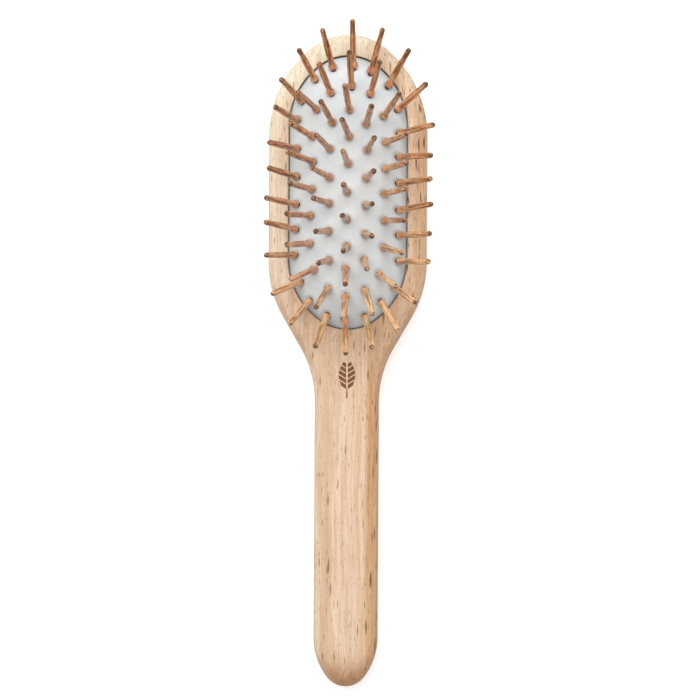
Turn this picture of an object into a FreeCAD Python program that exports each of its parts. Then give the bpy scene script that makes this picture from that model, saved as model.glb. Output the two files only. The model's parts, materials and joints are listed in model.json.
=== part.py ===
"""Wooden pin brush: one-piece beech body, crowned rubber air cushion, turned wooden pins.

Millimetres. The brush lies on the flat back of its body, pins up.
Origin: on the flat back, half way along the body.  +Y runs from the handle's end to the head,
+X to the right seen from the pin side, +Z from the back to the pins.
"""
import FreeCAD, Part
import math
import os
import Sketcher
from FreeCAD import Placement, Rotation, Vector

doc = FreeCAD.newDocument("wooden_pin_brush")

# ---------------------------------------------------------------- driving dimensions
sizes = doc.addObject("Spreadsheet::Sheet", "sizes")
DIMENSIONS = (
    # alias, value, meaning
    ("total_length", 240.0, "body, end to end"),
    ("body_thickness", 15.0, "back face to front face"),
    ("front_round", 5.0, "round along the front edge"),
    ("back_round", 6.0, "round along the back edge"),
    ("head_half_width", 29.2, "half the width of the head"),
    ("head_side_radius", 42.0, "side arcs of the head's crown"),
    ("head_apex_radius", 21.5, "arc at the very top of the head"),
    ("head_crown_start", 82.5, "height above the middle where the straight sides end"),
    ("head_side_end", 36.2, "height above the middle where the shoulder starts"),
    ("shoulder_radius", 40.0, "convex arc from head to neck"),
    ("neck_radius", 40.0, "concave arc from neck to handle"),
    ("neck_angle", 30.0, "slope of the neck off the axis, degrees"),
    ("handle_half_width", 11.85, "half the width of the handle"),
    ("handle_side_radius", 24.0, "side arcs of the handle's end"),
    ("handle_apex_radius", 8.7, "arc at the very end of the handle"),
    ("handle_round_start", 102.0, "distance below the middle where the end starts to round"),
    ("opening_centre", 61.5, "middle of the recess above the body's middle"),
    ("opening_half_width", 21.75, "half the width of the recess"),
    ("opening_straight", 24.1, "half the straight stretch of the recess's sides"),
    ("opening_side_radius", 28.0, "side arcs of the recess's ends"),
    ("opening_apex_radius", 17.2, "end arcs of the recess"),
    ("opening_ease", 0.4, "eased edge of the recess"),
    ("recess_depth", 9.0, "front face to the recess floor"),
    ("groove_reach", 2.1, "how far the groove cuts into the recess wall"),
    ("groove_top", 2.3, "front face to the upper side of the groove"),
    ("groove_height", 1.8, "height of the groove"),
    ("lip_reach", 2.0, "how far the cushion's lip stands into the groove"),
    ("lip_height", 1.7, "thickness of the lip"),
    ("skirt_gap", 0.2, "clearance between the cushion's skirt and the recess wall"),
    ("rim_depth", 1.5, "front face down to the crown's rim"),
    ("crown_height", 9.5, "crown over its rim"),
    ("rubber_thickness", 1.6, "rubber diaphragm"),
    ("hole_radius", 0.90, "pin holes in the rubber"),
    ("pin_length", 20.0, "rubber surface to tip"),
    ("pin_neck_radius", 0.85, "neck in the rubber"),
    ("pin_head_radius", 1.30, "mushroom head behind the rubber"),
    ("pin_head_top", 2.35, "rubber surface to the head's upper side"),
    ("pin_head_height", 1.5, "height of the mushroom head"),
    ("pin_bulb_start", 0.35, "rubber surface to the foot of the bulb"),
    ("pin_bulb_radius", 1.55, "largest radius of the bulb"),
    ("pin_bulb_middle", 1.35, "rubber surface to the bulb's widest ring"),
    ("pin_bulb_end", 3.1, "rubber surface to the top of the bulb"),
    ("pin_waist_radius", 1.06, "radius above the bulb"),
    ("pin_swell_radius", 1.15, "widest ring of the barrel-shaped shaft"),
    ("pin_throat_radius", 1.00, "narrow ring below the tip"),
    ("pin_throat_height", 16.0, "rubber surface to the narrow ring"),
    ("pin_shaft_radius", 1.05, "widest ring of the rounded tip"),
    ("pin_dome_height", 1.3, "height of the rounded tip"),
    ("mark_centre", 5.4, "middle of the burnt leaf mark below the body's middle"),
    ("mark_half_length", 6.3, "half the leaf's length"),
    ("mark_arc_radius", 7.9, "radius of the leaf's two sides"),
    ("mark_depth", 0.2, "depth of the burnt mark"),
)
for row, (alias, value, meaning) in enumerate(DIMENSIONS, start=1):
    sizes.set("A%d" % row, alias)
    sizes.set("B%d" % row, repr(value))
    sizes.set("C%d" % row, meaning)
    sizes.setAlias("B%d" % row, alias)
doc.recompute()


def dim(alias):
    return float(sizes.get(alias))


# Pins: name (column letter, row from the head's top), foot x and y from the middle of the recess,
# lean off +Z in degrees, and the lean's heading in degrees from +Y towards +X.
PINS = (
    ("a01", -17.01, 32.83, 28.4, -49.1),
    ("a02", -18.41, 26.13, 25.0, -72.6),
    ("a03", -18.39, 15.68, 30.7, -86.6),
    ("a04", -18.52, 5.40, 31.2, -79.9),
    ("a05", -18.58, -4.57, 34.1, -84.1),
    ("a06", -18.73, -13.72, 33.7, -81.0),
    ("a07", -19.07, -23.02, 32.0, -94.9),
    ("a08", -17.03, -32.79, 33.8, -115.8),
    ("b01", -12.12, 40.69, 32.6, -32.5),
    ("b02", -11.34, 29.39, 23.4, -57.5),
    ("b03", -12.85, 19.73, 24.5, -70.0),
    ("b04", -12.52, 10.52, 28.5, -77.9),
    ("b05", -12.90, 0.65, 24.1, -85.2),
    ("b06", -13.36, -8.85, 25.9, -94.9),
    ("b07", -13.49, -18.97, 25.5, -99.6),
    ("b08", -12.00, -28.21, 27.9, -119.3),
    ("b09", -13.73, -39.60, 34.9, -142.1),
    ("c01", -5.66, 44.83, 39.9, -17.9),
    ("c02", -6.30, 35.21, 29.4, -26.5),
    ("c03", -5.66, 24.38, 20.6, -36.5),
    ("c04", -6.53, 14.97, 17.3, -57.2),
    ("c05", -6.47, 4.76, 20.0, -74.4),
    ("c06", -6.65, -4.55, 16.9, -86.3),
    ("c07", -6.85, -14.56, 14.0, -104.8),
    ("c08", -6.65, -24.99, 12.8, -117.9),
    ("c09", -6.95, -35.06, 26.4, -151.2),
    ("c10", -7.51, -44.84, 39.6, -162.0),
    ("d01", 1.76, 45.13, 52.2, -2.1),
    ("d02", 1.15, 37.39, 34.0, -5.8),
    ("d03", 0.42, 28.97, 20.8, -15.3),
    ("d04", 0.42, 19.37, 14.9, -31.0),
    ("d05", 0.07, 9.73, 9.5, -38.7),
    ("d06", -0.27, -0.46, 5.1, -56.7),
    ("d07", -0.39, -10.31, 4.3, -99.6),
    ("d08", -0.35, -19.88, 9.3, -156.9),
    ("d09", -0.75, -27.73, 20.5, 179.3),
    ("d10", -0.72, -37.84, 27.4, -176.4),
    ("d11", -0.86, -46.20, 41.4, 178.2),
    ("e01", 7.95, 43.31, 49.4, 16.2),
    ("e02", 7.77, 34.89, 32.5, 17.6),
    ("e03", 6.39, 23.98, 14.4, 20.2),
    ("e04", 6.80, 14.73, 10.4, 42.6),
    ("e05", 6.48, 4.51, 8.4, 64.8),
    ("e06", 6.38, -5.29, 7.1, 112.0),
    ("e07", 6.25, -15.53, 9.1, 127.9),
    ("e08", 5.84, -24.57, 14.0, 165.6),
    ("e09", 6.37, -35.59, 29.8, 165.1),
    ("e10", 6.48, -45.14, 37.3, 168.5),
    ("f01", 14.22, 38.54, 45.0, 32.5),
    ("f02", 12.51, 27.08, 25.6, 42.9),
    ("f03", 13.35, 17.85, 23.1, 82.2),
    ("f04", 13.24, 8.27, 22.3, 87.2),
    ("f05", 12.88, -0.81, 24.2, 86.9),
    ("f06", 12.99, -10.51, 22.0, 97.9),
    ("f07", 12.93, -20.17, 21.0, 115.1),
    ("f08", 11.38, -30.02, 23.4, 131.1),
    ("f09", 12.20, -39.86, 40.7, 151.1),
    ("g01", 17.65, 30.01, 41.2, 53.1),
    ("g02", 18.38, 21.50, 38.5, 82.9),
    ("g03", 18.09, 12.87, 36.9, 93.7),
    ("g04", 18.15, 3.33, 36.1, 88.2),
    ("g05", 18.20, -6.56, 37.0, 84.3),
    ("g06", 18.28, -15.56, 35.5, 92.6),
    ("g07", 18.39, -24.99, 32.9, 95.8),
    ("g08", 16.84, -34.30, 29.9, 130.1),
)

# Left and right pins that stand opposite each other near both ends of the cushion sink alike,
# so each such pair is one node of two separate solids.
PAIRS = (("c01", "e01"), ("b01", "f01"), ("a01", "g01"), ("b09", "f09"),
         ("c10", "e10"), ("a08", "g08"), ("b08", "f08"))


# ---------------------------------------------------------------- helpers
def make_body(label):
    body = doc.addObject("PartDesign::Body", label)
    body.Label = label
    return body


def plane(body, role):
    for feature in body.Origin.OriginFeatures:
        if feature.Role == role:
            return feature
    raise RuntimeError("no " + role)


def make_sketch(body, name, role="XY_Plane", height=None):
    """A sketch on one of the body's own origin planes, raised along Z by an expression."""
    sketch = body.newObject("Sketcher::SketchObject", name)
    sketch.AttachmentSupport = [(plane(body, role), "")]
    sketch.MapMode = "FlatFace"
    if height:
        sketch.setExpression("AttachmentOffset.Base.z", height)
    return sketch


def bind(sketch, constraint, name, expression):
    index = sketch.addConstraint(constraint)
    sketch.renameConstraint(index, name)
    sketch.setExpression("Constraints." + name, expression)
    return index


def end_length(width, side, apex):
    """Length of a three-arc end of this half width, side radius and apex radius."""
    return apex + math.sqrt((side - apex) ** 2 - (side - width) ** 2)


def arc(cx, cy, radius, start, stop):
    return Part.ArcOfCircle(Part.Circle(Vector(cx, cy, 0), Vector(0, 0, 1), radius), start, stop)


def oval(sketch, inset=0.0, inset_text="0", straight=None, side=None, apex=None):
    """The closed oval of the recess, moved inwards by an inset: two straight sides, and at each end
    a side arc, an apex arc and a side arc, all tangent."""
    w = dim("opening_half_width") - inset
    s = dim("opening_straight")
    R = (side[0] if side else dim("opening_side_radius") - inset)
    r = (apex[0] if apex else dim("opening_apex_radius") - inset)
    yc = dim("opening_centre")
    e = end_length(w, R, r) - r
    a = math.atan2(e, R - w)
    pi = math.pi
    line = Part.LineSegment
    ids = sketch.addGeometry([
        line(Vector(w, yc - s, 0), Vector(w, yc + s, 0)),
        arc(w - R, yc + s, R, 0, a),
        arc(0, yc + s + e, r, a, pi - a),
        arc(R - w, yc + s, R, pi - a, pi),
        line(Vector(-w, yc + s, 0), Vector(-w, yc - s, 0)),
        arc(R - w, yc - s, R, pi, pi + a),
        arc(0, yc - s - e, r, pi + a, 2 * pi - a),
        arc(w - R, yc - s, R, 2 * pi - a, 2 * pi),
    ], False)
    C = Sketcher.Constraint
    for k in range(8):
        sketch.addConstraint(C("Tangent", k, 2, (k + 1) % 8, 1))
    sketch.addConstraint(C("Vertical", 0))
    sketch.addConstraint(C("Symmetric", 0, 1, 4, 2, -2))
    sketch.addConstraint(C("Symmetric", 0, 2, 4, 1, -2))
    sketch.addConstraint(C("PointOnObject", 2, 3, -2))
    sketch.addConstraint(C("PointOnObject", 6, 3, -2))
    sketch.addConstraint(C("Equal", 2, 6))
    bind(sketch, C("DistanceX", -1, 1, 0, 1, w), "half_width", "sizes.opening_half_width - (%s)" % inset_text)
    bind(sketch, C("DistanceY", -1, 1, 0, 1, yc - s), "side_foot", "sizes.opening_centre - sizes.opening_straight")
    bind(sketch, C("DistanceY", -1, 1, 0, 2, yc + s), "side_top", "sizes.opening_centre + sizes.opening_straight")
    bind(sketch, C("Radius", 1, R), "side_radius",
         side[1] if side else "sizes.opening_side_radius - (%s)" % inset_text)
    bind(sketch, C("Radius", 2, r), "apex_radius",
         apex[1] if apex else "sizes.opening_apex_radius - (%s)" % inset_text)
    return sketch


def pad(body, sketch, length, name, reversed_=False):
    feature = body.newObject("PartDesign::Pad", name)
    feature.Profile = sketch
    feature.setExpression("Length", length)
    feature.Reversed = reversed_
    sketch.Visibility = False
    return feature


def pocket(body, sketch, length, name):
    before = body.Tip.Shape.Volume
    feature = body.newObject("PartDesign::Pocket", name)
    feature.Profile = sketch
    feature.setExpression("Length", length)
    doc.recompute()
    if not feature.Shape.Volume < before - 0.01:
        raise RuntimeError("%s cut nothing" % name)
    return feature


def edges_at(feature, z, radius_from=None, inside=None):
    """Names of the feature's edges that lie wholly at height z (and inside a half width, if given)."""
    names = []
    for number, edge in enumerate(feature.Shape.Edges, start=1):
        box = edge.BoundBox
        if abs(box.ZMin - z) > 1e-4 or abs(box.ZMax - z) > 1e-4:
            continue
        if inside is not None:
            middle = edge.valueAt((edge.FirstParameter + edge.LastParameter) / 2.0)
            if not inside(middle):
                continue
        names.append("Edge%d" % number)
    return names


# ---------------------------------------------------------------- handle_body
handle_body = make_body("handle_body")
outline = make_sketch(handle_body, "body_outline")


def draw_body_outline(sketch):
    half = dim("total_length") / 2.0
    w, R, r = dim("head_half_width"), dim("head_side_radius"), dim("head_apex_radius")
    top = dim("head_crown_start")
    e = end_length(w, R, r) - r
    a = math.atan2(e, R - w)
    y1 = dim("head_side_end")
    r1, r2 = dim("shoulder_radius"), dim("neck_radius")
    n = math.radians(dim("neck_angle"))
    h = dim("handle_half_width")
    x1, v1 = w - r1 + r1 * math.cos(n), y1 - r1 * math.sin(n)          # foot of the shoulder
    x2 = h + r2 - r2 * math.cos(n)                                     # head of the neck arc
    v2 = v1 - (x1 - x2) / math.tan(n)
    y2 = v2 - r2 * math.sin(n)                                         # start of the handle
    Re, re_ = dim("handle_side_radius"), dim("handle_apex_radius")
    ye = -dim("handle_round_start")
    ee = end_length(h, Re, re_) - re_
    b = math.atan2(ee, Re - h)
    pi = math.pi
    V = lambda x, y: Vector(x, y, 0)
    line = Part.LineSegment
    sketch.addGeometry([
        line(V(w, y1), V(w, top)),                       # 0 right side of the head
        arc(w - R, top, R, 0, a),                        # 1
        arc(0, top + e, r, a, pi - a),                   # 2 head apex
        arc(R - w, top, R, pi - a, pi),                  # 3
        line(V(-w, top), V(-w, y1)),                     # 4 left side of the head
        arc(r1 - w, y1, r1, pi, pi + n),                 # 5 left shoulder
        line(V(-x1, v1), V(-x2, v2)),                    # 6 left neck
        arc(-h - r2, y2, r2, 0, n),                      # 7 left neck arc, drawn upwards
        line(V(-h, y2), V(-h, ye)),                      # 8 left side of the handle
        arc(Re - h, ye, Re, pi, pi + b),                 # 9
        arc(0, ye - ee, re_, pi + b, 2 * pi - b),        # 10 handle apex
        arc(h - Re, ye, Re, 2 * pi - b, 2 * pi),         # 11
        line(V(h, ye), V(h, y2)),                        # 12 right side of the handle
        arc(h + r2, y2, r2, pi - n, pi),                 # 13 right neck arc, drawn downwards
        line(V(x2, v2), V(x1, v1)),                      # 14 right neck
        arc(w - r1, y1, r1, 2 * pi - n, 2 * pi),         # 15 right shoulder
    ], False)
    C = Sketcher.Constraint
    joins = [(0, 2, 1, 1), (1, 2, 2, 1), (2, 2, 3, 1), (3, 2, 4, 1), (4, 2, 5, 1), (5, 2, 6, 1), (6, 2, 7, 2),
             (7, 1, 8, 1), (8, 2, 9, 1), (9, 2, 10, 1), (10, 2, 11, 1), (11, 2, 12, 1), (12, 2, 13, 2),
             (13, 1, 14, 1), (14, 2, 15, 1), (15, 2, 0, 1)]
    for g1, p1, g2, p2 in joins:
        sketch.addConstraint(C("Tangent", g1, p1, g2, p2))
    sketch.addConstraint(C("Vertical", 0))
    sketch.addConstraint(C("Vertical", 12))
    sketch.addConstraint(C("Symmetric", 0, 1, 4, 2, -2))
    sketch.addConstraint(C("Symmetric", 0, 2, 4, 1, -2))
    sketch.addConstraint(C("Symmetric", 12, 1, 8, 2, -2))
    sketch.addConstraint(C("Symmetric", 12, 2, 8, 1, -2))
    sketch.addConstraint(C("Equal", 15, 5))
    sketch.addConstraint(C("Equal", 13, 7))
    sketch.addConstraint(C("PointOnObject", 2, 3, -2))
    sketch.addConstraint(C("PointOnObject", 10, 3, -2))
    bind(sketch, C("DistanceX", -1, 1, 0, 1, w), "head_half_width", "sizes.head_half_width")
    bind(sketch, C("DistanceY", -1, 1, 0, 1, y1), "head_side_end", "sizes.head_side_end")
    bind(sketch, C("DistanceY", -1, 1, 0, 2, top), "head_crown_start", "sizes.head_crown_start")
    bind(sketch, C("Radius", 1, R), "head_side_radius", "sizes.head_side_radius")
    bind(sketch, C("Radius", 2, r), "head_apex_radius", "sizes.head_apex_radius")
    bind(sketch, C("Radius", 15, r1), "shoulder_radius", "sizes.shoulder_radius")
    bind(sketch, C("Radius", 13, r2), "neck_radius", "sizes.neck_radius")
    bind(sketch, C("Angle", 14, n and (pi / 2 - n)), "neck_angle", "(90 - sizes.neck_angle) * 1 deg")
    bind(sketch, C("DistanceX", -1, 1, 12, 1, h), "handle_half_width", "sizes.handle_half_width")
    bind(sketch, C("DistanceY", 12, 1, -1, 1, -ye), "handle_round_start", "sizes.handle_round_start")
    bind(sketch, C("Radius", 11, Re), "handle_side_radius", "sizes.handle_side_radius")
    bind(sketch, C("Radius", 10, re_), "handle_apex_radius", "sizes.handle_apex_radius")
    return half, top + e + r, ye - ee - re_


half, crown_y, end_y = draw_body_outline(outline)
if abs(crown_y - half) > 0.2 or abs(end_y + half) > 0.2:
    raise RuntimeError("outline is %.2f to %.2f, not %.1f long" % (end_y, crown_y, 2 * half))
board = pad(handle_body, outline, "sizes.body_thickness", "board")
doc.recompute()
front_edges = edges_at(board, dim("body_thickness"))
front = handle_body.newObject("PartDesign::Fillet", "front_round")
front.Base = (board, front_edges)
front.setExpression("Radius", "sizes.front_round")
doc.recompute()
back = handle_body.newObject("PartDesign::Fillet", "back_round")
back.Base = (front, edges_at(front, 0.0))
back.setExpression("Radius", "sizes.back_round")
doc.recompute()

opening = make_sketch(handle_body, "recess_outline", height="sizes.body_thickness")
oval(opening)
recess = pocket(handle_body, opening, "sizes.recess_depth", "recess")
groove_outline = make_sketch(handle_body, "groove_outline", height="sizes.body_thickness - sizes.groove_top")
oval(groove_outline, -dim("groove_reach"), "-sizes.groove_reach")
groove = pocket(handle_body, groove_outline, "sizes.groove_height", "lip_groove")
yc = dim("opening_centre")
ease = handle_body.newObject("PartDesign::Fillet", "opening_ease")
ease.Base = (groove, edges_at(groove, dim("body_thickness"),
                              inside=lambda p: math.hypot(p.x / 23.0, (p.y - yc) / 52.0) < 1.0))
ease.setExpression("Radius", "sizes.opening_ease")
doc.recompute()

# burnt leaf mark on the neck: two arcs that meet in two points
leaf = make_sketch(handle_body, "leaf_outline", height="sizes.body_thickness")
lc, lh, lr = -dim("mark_centre"), dim("mark_half_length"), dim("mark_arc_radius")
reach = math.asin(lh / lr)
off = math.sqrt(lr * lr - lh * lh)
leaf.addGeometry([arc(-off, lc, lr, -reach, reach), arc(off, lc, lr, math.pi - reach, math.pi + reach)], False)
C = Sketcher.Constraint
leaf.addConstraint(C("Coincident", 0, 2, 1, 1))
leaf.addConstraint(C("Coincident", 0, 1, 1, 2))
leaf.addConstraint(C("PointOnObject", 0, 2, -2))
leaf.addConstraint(C("PointOnObject", 0, 1, -2))
leaf.addConstraint(C("Equal", 0, 1))
bind(leaf, C("Radius", 0, lr), "side_radius", "sizes.mark_arc_radius")
bind(leaf, C("DistanceY", 0, 1, 0, 2, 2 * lh), "leaf_length", "2 * sizes.mark_half_length")
bind(leaf, C("DistanceY", 0, 1, -1, 1, -(lc - lh)), "leaf_foot", "sizes.mark_centre + sizes.mark_half_length")
mark = pocket(handle_body, leaf, "sizes.mark_depth", "leaf_mark")

# ---------------------------------------------------------------- rubber cushion
# The crown is an arc over the width of the opening, carried round the ends: its height depends only
# on the distance from the rim.
A = dim("opening_half_width")
CROWN = dim("crown_height")
ARC = (A * A + CROWN * CROWN) / (2 * CROWN)
FACE = dim("body_thickness")
RIM = FACE - dim("rim_depth")
THICK = dim("rubber_thickness")


def crown_at(inset):
    """Height of the crown over its rim at a distance from the rim."""
    inset = min(max(inset, 0.0), A)
    return math.sqrt(ARC ** 2 - (A - inset) ** 2) - (ARC - CROWN)


def inset_at(x, y):
    """Distance from the rim of the oval, x and y from its middle."""
    x, y = abs(x), abs(y)
    s = dim("opening_straight")
    R, r = dim("opening_side_radius"), dim("opening_apex_radius")
    if y <= s:
        return A - x
    e = end_length(A, R, r) - r
    y -= s
    if math.atan2(y, x + R - A) <= math.atan2(e, R - A):
        return R - math.hypot(x + R - A, y)
    return r - math.hypot(x, y - e)


ARC_TEXT = "((sizes.opening_half_width ^ 2 + sizes.crown_height ^ 2) / (2 * sizes.crown_height))"


def crown_text(inset):
    """The same height as an expression of the sheet's cells."""
    return ("(sqrt(%s ^ 2 - (sizes.opening_half_width - %r) ^ 2) - %s + sizes.crown_height)"
            % (ARC_TEXT, inset, ARC_TEXT))


def small_end(width):
    """Side and apex radius of the narrow ovals on the ridge, where the apex arc has run out."""
    length = max(4.2, width * 1.6)
    side = (width * width + length * length) / (2 * width) * 1.15
    apex = (2 * side * width - width * width - length * length) / (2 * (side - length))
    return side, apex


def crown_sections(body, prefix, lower):
    """Ovals from the rim to the ridge, on the outer or (lower by the rubber's thickness) inner side."""
    sketches = []
    for number, inset in enumerate((0.0, 2.0, 4.5, 7.5, 11.0, 14.5, 18.5)):
        z = crown_at(inset)
        slope = math.asin((A - inset) / ARC)
        skin = inset + (lower * math.sin(slope)) + (dim("skirt_gap") if inset == 0.0 else 0.0)
        height = "sizes.body_thickness - sizes.rim_depth + %s - %r" % (crown_text(inset), round(lower * math.cos(slope), 4))
        sketch = make_sketch(body, "%s_%d" % (prefix, number), height=height)
        if inset > 12.0 or skin > 13.5:
            width = A - skin
            side, apex = small_end(width)
            oval(sketch, skin, repr(round(skin, 6)), side=(side, repr(round(side, 5))), apex=(apex, repr(round(apex, 5))))
        else:
            oval(sketch, skin, repr(round(skin, 6)))
        sketches.append(sketch)
    return sketches


cushion = make_body("cushion_blank")
lip_outline = make_sketch(cushion, "lip_outline",
                          height="sizes.body_thickness - sizes.groove_top - sizes.groove_height")
oval(lip_outline, -dim("lip_reach"), "-sizes.lip_reach")
lip = pad(cushion, lip_outline, "sizes.lip_height", "lip")
skirt_outline = make_sketch(cushion, "skirt_outline",
                            height="sizes.body_thickness - sizes.groove_top - sizes.groove_height")
oval(skirt_outline, dim("skirt_gap"), "sizes.skirt_gap")
skirt = pad(cushion, skirt_outline, "sizes.groove_top + sizes.groove_height - sizes.rim_depth", "skirt")
doc.recompute()
outer = crown_sections(cushion, "crown", 0.0)
crown = cushion.newObject("PartDesign::AdditiveLoft", "crown")
crown.Profile = outer[0]
crown.Sections = outer[1:]
crown.Ruled = False
doc.recompute()
inner = crown_sections(cushion, "chamber", THICK)
chamber = cushion.newObject("PartDesign::SubtractiveLoft", "chamber")
chamber.Profile = inner[0]
chamber.Sections = inner[1:]
chamber.Ruled = False
doc.recompute()
mouth_outline = make_sketch(cushion, "mouth_outline",
                            height="sizes.body_thickness - sizes.rim_depth - %r + 0.002"
                                   % round(THICK * math.cos(math.asin(A / ARC)), 4))
skin0 = THICK * math.sin(math.asin(A / ARC)) + dim("skirt_gap")
oval(mouth_outline, skin0, repr(round(skin0, 6)))
mouth = pocket(cushion, mouth_outline, "sizes.groove_top + sizes.groove_height + 1", "mouth")

holes = []
tilts = {}
for name, x, y, lean, heading in PINS:
    lean, heading = math.radians(lean), math.radians(heading)
    direction = Vector(math.sin(lean) * math.sin(heading), math.sin(lean) * math.cos(heading), math.cos(lean))
    foot = Vector(x, y + yc, RIM + crown_at(inset_at(x, y)))
    turn = Rotation(Vector(0, 0, 1), direction)
    tilts[name] = (foot, turn)
    hole = doc.addObject("Part::Cylinder", "hole_" + name)
    hole.setExpression("Radius", "sizes.hole_radius")
    hole.setExpression("Height", "3 * sizes.rubber_thickness")
    hole.Placement = Placement(foot - direction * 3.2, turn)
    holes.append(hole)
hole_set = doc.addObject("Part::Compound", "hole_set")
hole_set.Links = holes
rubber_cushion = doc.addObject("Part::Cut", "rubber_cushion")
rubber_cushion.Label = "rubber_cushion"
rubber_cushion.Base = cushion
rubber_cushion.Tool = hole_set
doc.recompute()


# ---------------------------------------------------------------- pins
def make_pin(label):
    """A turned pin on +Z: mushroom head, neck, bulb, shaft and rounded tip; z = 0 is the rubber's surface."""
    body = make_body(label)
    sketch = make_sketch(body, "profile_" + label, "XZ_Plane")
    d = dim
    z_head = -d("pin_head_top")
    p = [
        (0.0, z_head - d("pin_head_height")),
        (d("pin_head_radius") * 0.8, z_head - d("pin_head_height")),
        (d("pin_head_radius"), z_head - d("pin_head_height") * 0.55),
        (d("pin_head_radius"), z_head - 0.25),
        (d("pin_neck_radius"), z_head),
        (d("pin_neck_radius"), d("pin_bulb_start")),
        (d("pin_bulb_radius"), d("pin_bulb_middle")),
        (d("pin_waist_radius"), d("pin_bulb_end")),
        (d("pin_throat_radius"), d("pin_throat_height")),
        (d("pin_shaft_radius"), d("pin_length") - d("pin_dome_height")),
        (0.0, d("pin_length")),
    ]
    V = lambda q: Vector(q[0], q[1], 0)
    seg = lambda i, j: Part.LineSegment(V(p[i]), V(p[j]))

    # the bulb: two arcs that share an upright tangent at its widest ring
    def side_arc(low, high, widest):
        # circle centred at the widest ring's height, through the ring and the other end
        ring = p[widest]
        other = p[low] if widest == high else p[high]
        dz = other[1] - ring[1]
        dx = ring[0] - other[0]
        radius = (dx * dx + dz * dz) / (2 * dx)
        cx = ring[0] - radius
        ang = math.atan2(dz, other[0] - cx)
        return arc(cx, ring[1], radius, min(0, ang), max(0, ang)), radius

    low_arc, _ = side_arc(5, 6, 6)
    high_arc, _ = side_arc(6, 7, 6)
    # the shaft: one long arc that swells between the waist and the throat
    run, drop = p[8][1] - p[7][1], p[7][0] - p[8][0]
    chord = math.hypot(run, drop)
    rise = d("pin_swell_radius") - (p[7][0] + p[8][0]) / 2
    shaft_r = chord * chord / (8 * rise) + rise / 2
    mid_r, mid_z = (p[7][0] + p[8][0]) / 2, (p[7][1] + p[8][1]) / 2
    back = shaft_r - rise
    sx, sz = mid_r - back * run / chord, mid_z - back * drop / chord
    shaft = arc(sx, sz, shaft_r, math.atan2(p[7][1] - sz, p[7][0] - sx), math.atan2(p[8][1] - sz, p[8][0] - sx))
    tip_r = (p[9][0] ** 2 + d("pin_dome_height") ** 2) / (2 * d("pin_dome_height"))
    tip_z = p[10][1] - tip_r
    dome = arc(0, tip_z, tip_r, math.atan2(p[9][1] - tip_z, p[9][0]), math.pi / 2)
    sketch.addGeometry([seg(0, 1), seg(1, 2), seg(2, 3), seg(3, 4), seg(4, 5), low_arc, high_arc, shaft, seg(8, 9), dome,
                        seg(10, 0)], False)
    # joints of the profile: (geometry, end) pairs
    joins = [(0, 2, 1, 1), (1, 2, 2, 1), (2, 2, 3, 1), (3, 2, 4, 1), (4, 2, 5, 1), (5, 2, 6, 1), (6, 2, 7, 1),
             (7, 2, 8, 1), (8, 2, 9, 1), (9, 2, 10, 1), (10, 2, 0, 1)]
    for g1, p1, g2, p2 in joins:
        sketch.addConstraint(C("Coincident", g1, p1, g2, p2))
    sketch.addConstraint(C("PointOnObject", 0, 1, -2))
    sketch.addConstraint(C("PointOnObject", 10, 1, -2))
    sketch.addConstraint(C("Horizontal", 0))
    sketch.addConstraint(C("Vertical", 2))
    sketch.addConstraint(C("Vertical", 4))
    sketch.addConstraint(C("PointOnObject", 9, 3, -2))
    # both bulb arcs are centred at the height of the widest ring
    sketch.addConstraint(C("DistanceY", 5, 3, 5, 2, 0.0))
    sketch.addConstraint(C("DistanceY", 6, 3, 6, 1, 0.0))
    bind(sketch, C("DistanceY", 0, 1, -1, 1, -p[0][1]), "head_bottom", "sizes.pin_head_top + sizes.pin_head_height")
    bind(sketch, C("DistanceX", 0, 1, 0, 2, p[1][0]), "head_foot", "0.8 * sizes.pin_head_radius")
    bind(sketch, C("DistanceX", -1, 1, 1, 2, p[2][0]), "head_radius", "sizes.pin_head_radius")
    bind(sketch, C("DistanceY", 1, 2, -1, 1, -p[2][1]), "head_side", "sizes.pin_head_top + 0.55 * sizes.pin_head_height")
    bind(sketch, C("DistanceY", 2, 2, -1, 1, -p[3][1]), "head_shoulder", "sizes.pin_head_top + 0.25")
    bind(sketch, C("DistanceX", -1, 1, 3, 2, p[4][0]), "neck_radius", "sizes.pin_neck_radius")
    bind(sketch, C("DistanceY", 3, 2, -1, 1, -p[4][1]), "head_top", "sizes.pin_head_top")
    bind(sketch, C("DistanceY", -1, 1, 4, 2, p[5][1]), "bulb_start", "sizes.pin_bulb_start")
    bind(sketch, C("DistanceX", -1, 1, 5, 2, p[6][0]), "bulb_radius", "sizes.pin_bulb_radius")
    bind(sketch, C("DistanceY", -1, 1, 5, 2, p[6][1]), "bulb_middle", "sizes.pin_bulb_middle")
    bind(sketch, C("DistanceX", -1, 1, 6, 2, p[7][0]), "waist_radius", "sizes.pin_waist_radius")
    bind(sketch, C("DistanceY", -1, 1, 6, 2, p[7][1]), "bulb_end", "sizes.pin_bulb_end")
    bind(sketch, C("DistanceX", -1, 1, 7, 2, p[8][0]), "throat_radius", "sizes.pin_throat_radius")
    bind(sketch, C("DistanceY", -1, 1, 7, 2, p[8][1]), "throat_height", "sizes.pin_throat_height")
    bind(sketch, C("Radius", 7, shaft_r), "shaft_curve",
         "((sizes.pin_throat_height - sizes.pin_bulb_end) ^ 2 + (sizes.pin_waist_radius - sizes.pin_throat_radius) ^ 2)"
         " / (8 * (sizes.pin_swell_radius - (sizes.pin_waist_radius + sizes.pin_throat_radius) / 2))"
         " + (sizes.pin_swell_radius - (sizes.pin_waist_radius + sizes.pin_throat_radius) / 2) / 2")
    bind(sketch, C("DistanceX", -1, 1, 8, 2, p[9][0]), "shaft_radius", "sizes.pin_shaft_radius")
    bind(sketch, C("DistanceY", -1, 1, 8, 2, p[9][1]), "shaft_end", "sizes.pin_length - sizes.pin_dome_height")
    bind(sketch, C("DistanceY", -1, 1, 10, 1, p[10][1]), "length", "sizes.pin_length")
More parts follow.
